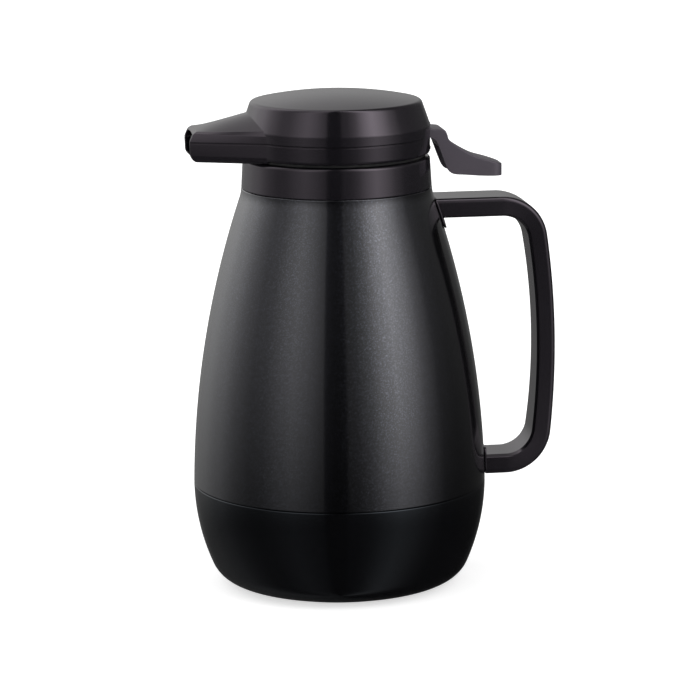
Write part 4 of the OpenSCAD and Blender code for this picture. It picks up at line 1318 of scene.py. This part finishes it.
@dataclass
class ThumbLever:
    """Lever: a hub on the pin, a fork to the valve stem, and a hollow thumb pad outside the lid."""

    pivot_x: float = 35.0
    pivot_z: float = 220.5
    pin_r: float = 1.57
    hub_r: float = 4.0
    inner_half_w: float = 7.5
    pad_half_w: float = 9.5
    pad_from_x: float = 41.2
    reach: float = 78.7
    tip_corner: float = 4.6
    wall: float = 2.0
    edge_r: float = 0.7
    fork_z: float = 221.8
    fork_tip_r: float = 2.0
    fork_w: float = 3.6
    fork_in: float = 3.6
    arm_half_t: float = 1.1
    slim_len: float = 7.6
    arm_spread: float = 3.0
    arm_join: float = 1.7
    shoulder_len: float = 0.5
    least_roof: float = 0.2
    hollow_from: float = 0.36
    hollow_to: float = 0.952

    def stations(self) -> tuple[Array, Array, Array]:
        """Return the top line, the bottom line and the depth of the hollow along the lever.

        Both lines pass smoothly through points seen from the side, as cubic curves. The hollow's
        ends are short ramps.

        Returns:
            Top points and bottom points as (n, 2) of x and z, and the depth share of the hollow.
        """
        top = np.array([[35, 224.5], [40.5, 221.9], [44.6, 219.0], [47.4, 218.8], [50.6, 218.2],
                        [51.9, 216.0], [52.9, 213.4], [58, 209.4], [65.2, 205.35], [72.6, 203.0],
                        [78.7, 201.0]])
        low = np.array([[35, 217.1], [40, 216.1], [44.4, 214.4], [46.8, 212.4], [48.5, 208.2],
                        [50.4, 203.2], [52.3, 199.0], [54.9, 197.1], [60.6, 196.5], [69.5, 195.75],
                        [78.7, 195.5]])
        place = np.linspace(0, 1, len(top))
        fine = np.sort(np.concatenate([np.linspace(0, 1, 120), 1 - np.geomspace(0.0004, 0.09, 26)]))
        hollow = (np.clip((fine - self.hollow_from) / 0.02, 0, 1)
                  * np.clip((self.hollow_to - fine) / 0.008, 0, 1))
        return smooth_line(place, top, fine), smooth_line(place, low, fine), hollow

    def half_width(self, x: Array) -> Array:
        """Return half the width at x: narrow in the lid, full outside, and a round tip.

        Args:
            x: Distances from the carafe's axis.

        Returns:
            Half widths.
        """
        step = np.clip((x - self.pad_from_x) / self.shoulder_len, 0, 1)
        width = self.inner_half_w + (self.pad_half_w - self.inner_half_w) * step
        past = np.clip(x - (self.reach - self.tip_corner), 0, self.tip_corner)
        tip = self.pad_half_w - self.tip_corner + np.sqrt(self.tip_corner ** 2 - past ** 2)
        return np.minimum(width, tip)

    def pad(self) -> Skin:
        """Return the lever's skin: an upside-down channel that stands between the two lines.

        Returns:
            The skin, facing outwards.
        """
        top, low, hollow = self.stations()
        height = np.linalg.norm(top - low, axis=1)
        w, inner = self.pad_half_w, self.pad_half_w - self.wall
        zero = np.zeros_like(height)
        roof = np.maximum(height - self.wall, self.least_roof) * hollow
        place = [(-w, zero), (-w, height), (w, height), (w, zero),
                 (inner, zero), (inner, roof), (-inner, roof), (-inner, zero)]
        corners = np.stack([np.stack([np.full_like(height, y), h], axis=-1) for y, h in place],
                           axis=1)
        radii = [0.3, self.edge_r, self.edge_r, 0.3, 0.2, 0.5, 0.5, 0.2]
        section = bend_corners(corners, radii, steps=6)
        share = section[..., 1] / height[:, None]
        spot = low[:, None] + share[..., None] * (top - low)[:, None]
        y = section[..., 0] * self.half_width(spot[..., 0]) / w
        return tube(np.stack([spot[..., 0], y, spot[..., 1]], axis=-1))

    def hub(self) -> Skin:
        """Return the hub: a round bearing with a bore along Y.

        Returns:
            The skin, facing outwards.
        """
        turn = np.linspace(0, 2 * np.pi, 48, endpoint=False)
        w = self.inner_half_w
        corners = np.array([[self.pin_r, -w], [self.hub_r, -w], [self.hub_r, w], [self.pin_r, w]])
        profile = bend_corners(corners, [0.2, 0.4, 0.4, 0.2])
        radius, along = profile[:, 0], profile[:, 1]
        x = self.pivot_x + radius * np.cos(turn)[:, None]
        z = self.pivot_z + radius * np.sin(turn)[:, None]
        return tube(np.stack([x, np.broadcast_to(along, x.shape), z], axis=-1), True)

    def arm(self, side: int) -> Skin:
        """Return one arm of the fork: an outline in X and Z drawn out along Y.

        Args:
            side: 1 or -1.

        Returns:
            The skin, facing outwards.
        """
        t = self.arm_half_t
        tip = polar((0, self.fork_z), self.fork_tip_r, 60, 300, 20)
        hub_x = self.pivot_x - self.arm_spread
        rest = np.array([[self.arm_join, self.fork_z - t], [self.slim_len, self.fork_z - t],
                         [hub_x, self.pivot_z - self.arm_spread],
                         [hub_x, self.pivot_z + self.arm_spread],
                         [self.slim_len, self.fork_z + t], [self.arm_join, self.fork_z + t]])
        outline = np.concatenate([tip, rest])
        centre = side * (self.fork_in + self.fork_w / 2)
        along = centre + np.array([-1, 1]) * self.fork_w / 2
        x = np.broadcast_to(outline[:, 0], (2, len(outline)))
        z = np.broadcast_to(outline[:, 1], (2, len(outline)))
        return tube(np.stack([x, np.broadcast_to(along[:, None], x.shape), z], axis=-1))


def smooth_line(place: Array, points: Array, fine: Array) -> Array:
    """Pass a smooth curve through points: cubic pieces, each sloping as the chords beside a point do.

    Args:
        place: Parameter of each point, rising.
        points: Array of (n, 2).
        fine: Parameters to work out.

    Returns:
        Array of (len(fine), 2).
    """
    chord = np.diff(points, axis=0) / np.diff(place)[:, None]
    slope = np.concatenate([chord[:1], (chord[1:] + chord[:-1]) / 2, chord[-1:]])
    k = np.clip(np.searchsorted(place, fine, side="right") - 1, 0, len(place) - 2)
    span = (place[k + 1] - place[k])[:, None]
    t = (fine[:, None] - place[k][:, None]) / span
    return ((2 * t ** 3 - 3 * t ** 2 + 1) * points[k] + (t ** 3 - 2 * t ** 2 + t) * span * slope[k]
            + (3 * t ** 2 - 2 * t ** 3) * points[k + 1] + (t ** 3 - t ** 2) * span * slope[k + 1])


# Studio


@dataclass
class Studio:
    """Pale floor, soft light in tall bands round the object, and the camera."""

    eye: tuple[float, float, float] = (-0.2261, -1.5513, 0.4323)
    forward: tuple[float, float, float] = (0.1448, 0.9690, -0.2000)
    roll_deg: float = 0.55
    focal_px: float = 3340.0
    sensor_mm: float = 36.0
    floor_hex: str = "#f4f4f4"
    floor_glow: float = 0.62
    floor_r: float = 30.0
    floor_sides: int = 96
    # Heights between which the bands grow from their least to their full light
    dim_height: float = -0.42
    full_height: float = 0.38
    least_light: float = 0.23
    full_light: float = 1.15
    # Bearing in degrees to the right of the eye, and how bright that side is
    bands: tuple[tuple[float, float], ...] = (
        (-180, 0.5), (-150, 0.8), (-130, 1.25), (-108, 1.3), (-91, 0.75), (-76, 0.42), (-63, 0.45),
        (-50, 0.8), (-38, 1.06), (-27, 0.8), (-16, 0.45), (-12.5, 0.4), (-11, 0.03), (6, 0.03),
        (8, 0.22), (16, 0.27), (27, 0.68), (38, 1.75), (50, 2.7), (63, 1.9), (76, 0.8), (91, 0.22),
        (108, 0.15), (150, 0.13), (180, 0.5))

    def camera(self) -> None:
        """Make the camera at the photographed angle."""
        forward = Vector(self.forward).normalized()
        right = forward.cross(Vector((0, 0, 1))).normalized()
        up = right.cross(forward)
        lean = radians(self.roll_deg)
        cam_right = np.cos(lean) * right - np.sin(lean) * up
        cam_up = np.sin(lean) * right + np.cos(lean) * up
        data = bpy.data.cameras.new("photo_camera")
        data.sensor_fit = "HORIZONTAL"
        data.sensor_width = self.sensor_mm
        data.lens = self.focal_px * self.sensor_mm / PHOTO_PX
        data.clip_start, data.clip_end = 0.05, 50.0
        camera = bpy.data.objects.new("photo_camera", data)
        axes = Matrix((cam_right, cam_up, -forward)).transposed()
        camera.matrix_world = Matrix.Translation(Vector(self.eye)) @ axes.to_4x4()
        bpy.context.scene.collection.objects.link(camera)
        bpy.context.scene.camera = camera

    def floor(self) -> None:
        """Make the pale floor. Gloss looks past it, as past a floor cut away behind the object."""
        turn = np.linspace(0, 2 * np.pi, self.floor_sides, endpoint=False)
        rim = np.stack([self.floor_r * np.cos(turn), self.floor_r * np.sin(turn),
                        np.zeros(self.floor_sides)], axis=-1)
        mesh = bpy.data.meshes.new("floor")
        mesh.from_pydata(rim.tolist(), [], [list(range(self.floor_sides))])
        floor = bpy.data.objects.new("floor", mesh)
        bpy.context.scene.collection.objects.link(floor)
        material, tree, _ = blank_material("pale_floor")
        paper = add_node(tree, "ShaderNodeBsdfDiffuse", {"Color": linear(self.floor_hex)})
        glow = add_node(tree, "ShaderNodeEmission",
                        {"Color": (1, 1, 1, 1), "Strength": self.floor_glow})
        both = add_node(tree, "ShaderNodeAddShader", {0: paper.outputs[0], 1: glow.outputs[0]})
        add_node(tree, "ShaderNodeOutputMaterial", {"Surface": both.outputs[0]})
        mesh.materials.append(material)
        floor.visible_glossy = False

    def light(self) -> None:
        """Light the scene from all sides in soft upright bands, dimmer from below."""
        world = bpy.data.worlds.new("studio")
        bpy.context.scene.world = world
        world.use_nodes = True
        tree = world.node_tree
        tree.nodes.clear()
        way = add_node(tree, "ShaderNodeTexCoord")
        eye_turn = np.arctan2(-self.forward[1], -self.forward[0])
        turned_way = add_node(tree, "ShaderNodeVectorRotate",
                              {"Vector": way.outputs["Generated"], "Angle": -float(eye_turn)},
                              rotation_type="Z_AXIS")
        sweep = add_node(tree, "ShaderNodeTexGradient", {"Vector": turned_way.outputs["Vector"]},
                         gradient_type="RADIAL")
        ramp = add_node(tree, "ShaderNodeValToRGB", {"Fac": sweep.outputs["Fac"]})
        ramp.color_ramp.interpolation = "LINEAR"
        stops = ramp.color_ramp.elements
        top = max(strength for _, strength in self.bands)
        for count, (bearing, strength) in enumerate(self.bands):
            spot = bearing / 360 + 0.5
            stop = stops[count] if count < 2 else stops.new(spot)
            stop.position = spot
            stop.color = (strength / top,) * 3 + (1,)
        height = add_node(tree, "ShaderNodeSeparateXYZ", {"Vector": way.outputs["Generated"]})
        level = add_node(tree, "ShaderNodeMapRange",
                         {"Value": height.outputs["Z"], "From Min": self.dim_height,
                          "From Max": self.full_height, "To Min": self.least_light,
                          "To Max": self.full_light * top}, interpolation_type="SMOOTHSTEP")
        shade = add_node(tree, "ShaderNodeVectorMath",
                         {0: ramp.outputs["Color"], "Scale": level.outputs["Result"]},
                         operation="SCALE")
        backdrop = add_node(tree, "ShaderNodeBackground", {"Color": (1, 1, 1, 1), "Strength": 1.0})
        bands = add_node(tree, "ShaderNodeBackground",
                         {"Color": shade.outputs["Vector"], "Strength": 1.0})
        ray = add_node(tree, "ShaderNodeLightPath")
        seen = add_node(tree, "ShaderNodeMixShader",
                        {0: ray.outputs["Is Camera Ray"], 1: bands.outputs[0],
                         2: backdrop.outputs[0]})
        add_node(tree, "ShaderNodeOutputWorld", {"Surface": seen.outputs[0]})
        bpy.context.scene.view_settings.view_transform = "Standard"


CAD_SLOTS: dict[str, Slot] = {
    "base_cap": Slot.BLACK_MOULDING,
    "liner_inner_flask": Slot.SILVERED_GLASS,
    "liner_outer_flask": Slot.SILVERED_GLASS,
    "liner_spacers": Slot.SPACER_PAD,
    "liner_mouth_gasket": Slot.SILICONE_SEAL,
    "liner_base_cushion": Slot.FOOT_RUBBER,
    "handle_screws": Slot.SCREW_STEEL,
    "lid_flow_cover": Slot.BLACK_MOULDING,
    "lid_cover_gasket": Slot.SILICONE_SEAL,
    "lid_cover_screws": Slot.SCREW_STEEL,
    "valve_stem": Slot.WHITE_MOULDING,
    "valve_plug": Slot.BLACK_MOULDING,
    "valve_seal": Slot.RED_SEAL,
    "valve_spring": Slot.SCREW_STEEL,
    "valve_stem_seal": Slot.RED_SEAL,
    "lever_pin": Slot.SCREW_STEEL,
}


def main() -> None:
    """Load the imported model, set the studio, and build and dress the pieces."""
    logging.basicConfig(level=logging.INFO)
    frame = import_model()
    studio = Studio()
    studio.camera()
    studio.floor()
    studio.light()
    palette = Palette()
    vessel, thread, lid, lever = Vessel(), Thread(), Lid(), ThumbLever()
    handle = Handle(vessel)
    make_piece("shell_skin", [vessel.shell()], palette, Slot.SHELL_PAINT, Body.CARAFE,
               ("body_shell",))
    make_piece("base_cup_moulding", [vessel.cup()], palette, Slot.BASE_GLOSS, Body.CARAFE,
               ("base_cup",))
    make_piece("foot_ring_rubber", [vessel.foot()], palette, Slot.FOOT_RUBBER, Body.CARAFE,
               ("foot_ring",))
    make_piece("collar_moulding", [vessel.collar()] + thread.collar_ridges(), palette,
               Slot.BLACK_TRIM, Body.CARAFE, ("neck_collar",))
    make_piece("handle_moulding", [handle.bar(), handle.plate(True), handle.plate(False)], palette,
               Slot.BLACK_TRIM, Body.CARAFE, ("handle",))
    make_piece("lid_cap_moulding", [lid.cap(), lid.spout_half(True)], palette, Slot.BLACK_TRIM,
               Body.LID, ("lid_cap",))
    make_piece("lid_ring_moulding", lid.ring() + [lid.pocket_tab(), lid.spout_half(False)], palette,
               Slot.BLACK_TRIM, Body.LID, ("lid_body",))
    make_piece("stopper_moulding", [lid.stopper()] + thread.stopper_ridges(), palette,
               Slot.BLACK_MOULDING, Body.LID, ("stopper_body",))
    make_piece("mouth_seal_ring", [lid.mouth_seal()], palette, Slot.SILICONE_SEAL, Body.LID,
               ("stopper_mouth_seal",))
    make_piece("ring_gasket", [lid.ring_gasket()], palette, Slot.FOOT_RUBBER, Body.LID_SEAT,
               ("lid_ring_gasket",))
    # The lever takes the semi-matt trim whose paler grey is painted light
    make_piece("thumb_lever_moulding", [lever.pad(), lever.hub(), lever.arm(1), lever.arm(-1)], palette,
               Slot.BLACK_TRIM, Body.LEVER, ("thumb_lever",), semi_matt_painted_light=True)
    for node, slot in CAD_SLOTS.items():
        palette.dress(frame["nodes"][node], slot)
        log.info("%s: %s", node, slot.value)
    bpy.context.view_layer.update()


if __name__ == "__main__":
    main()
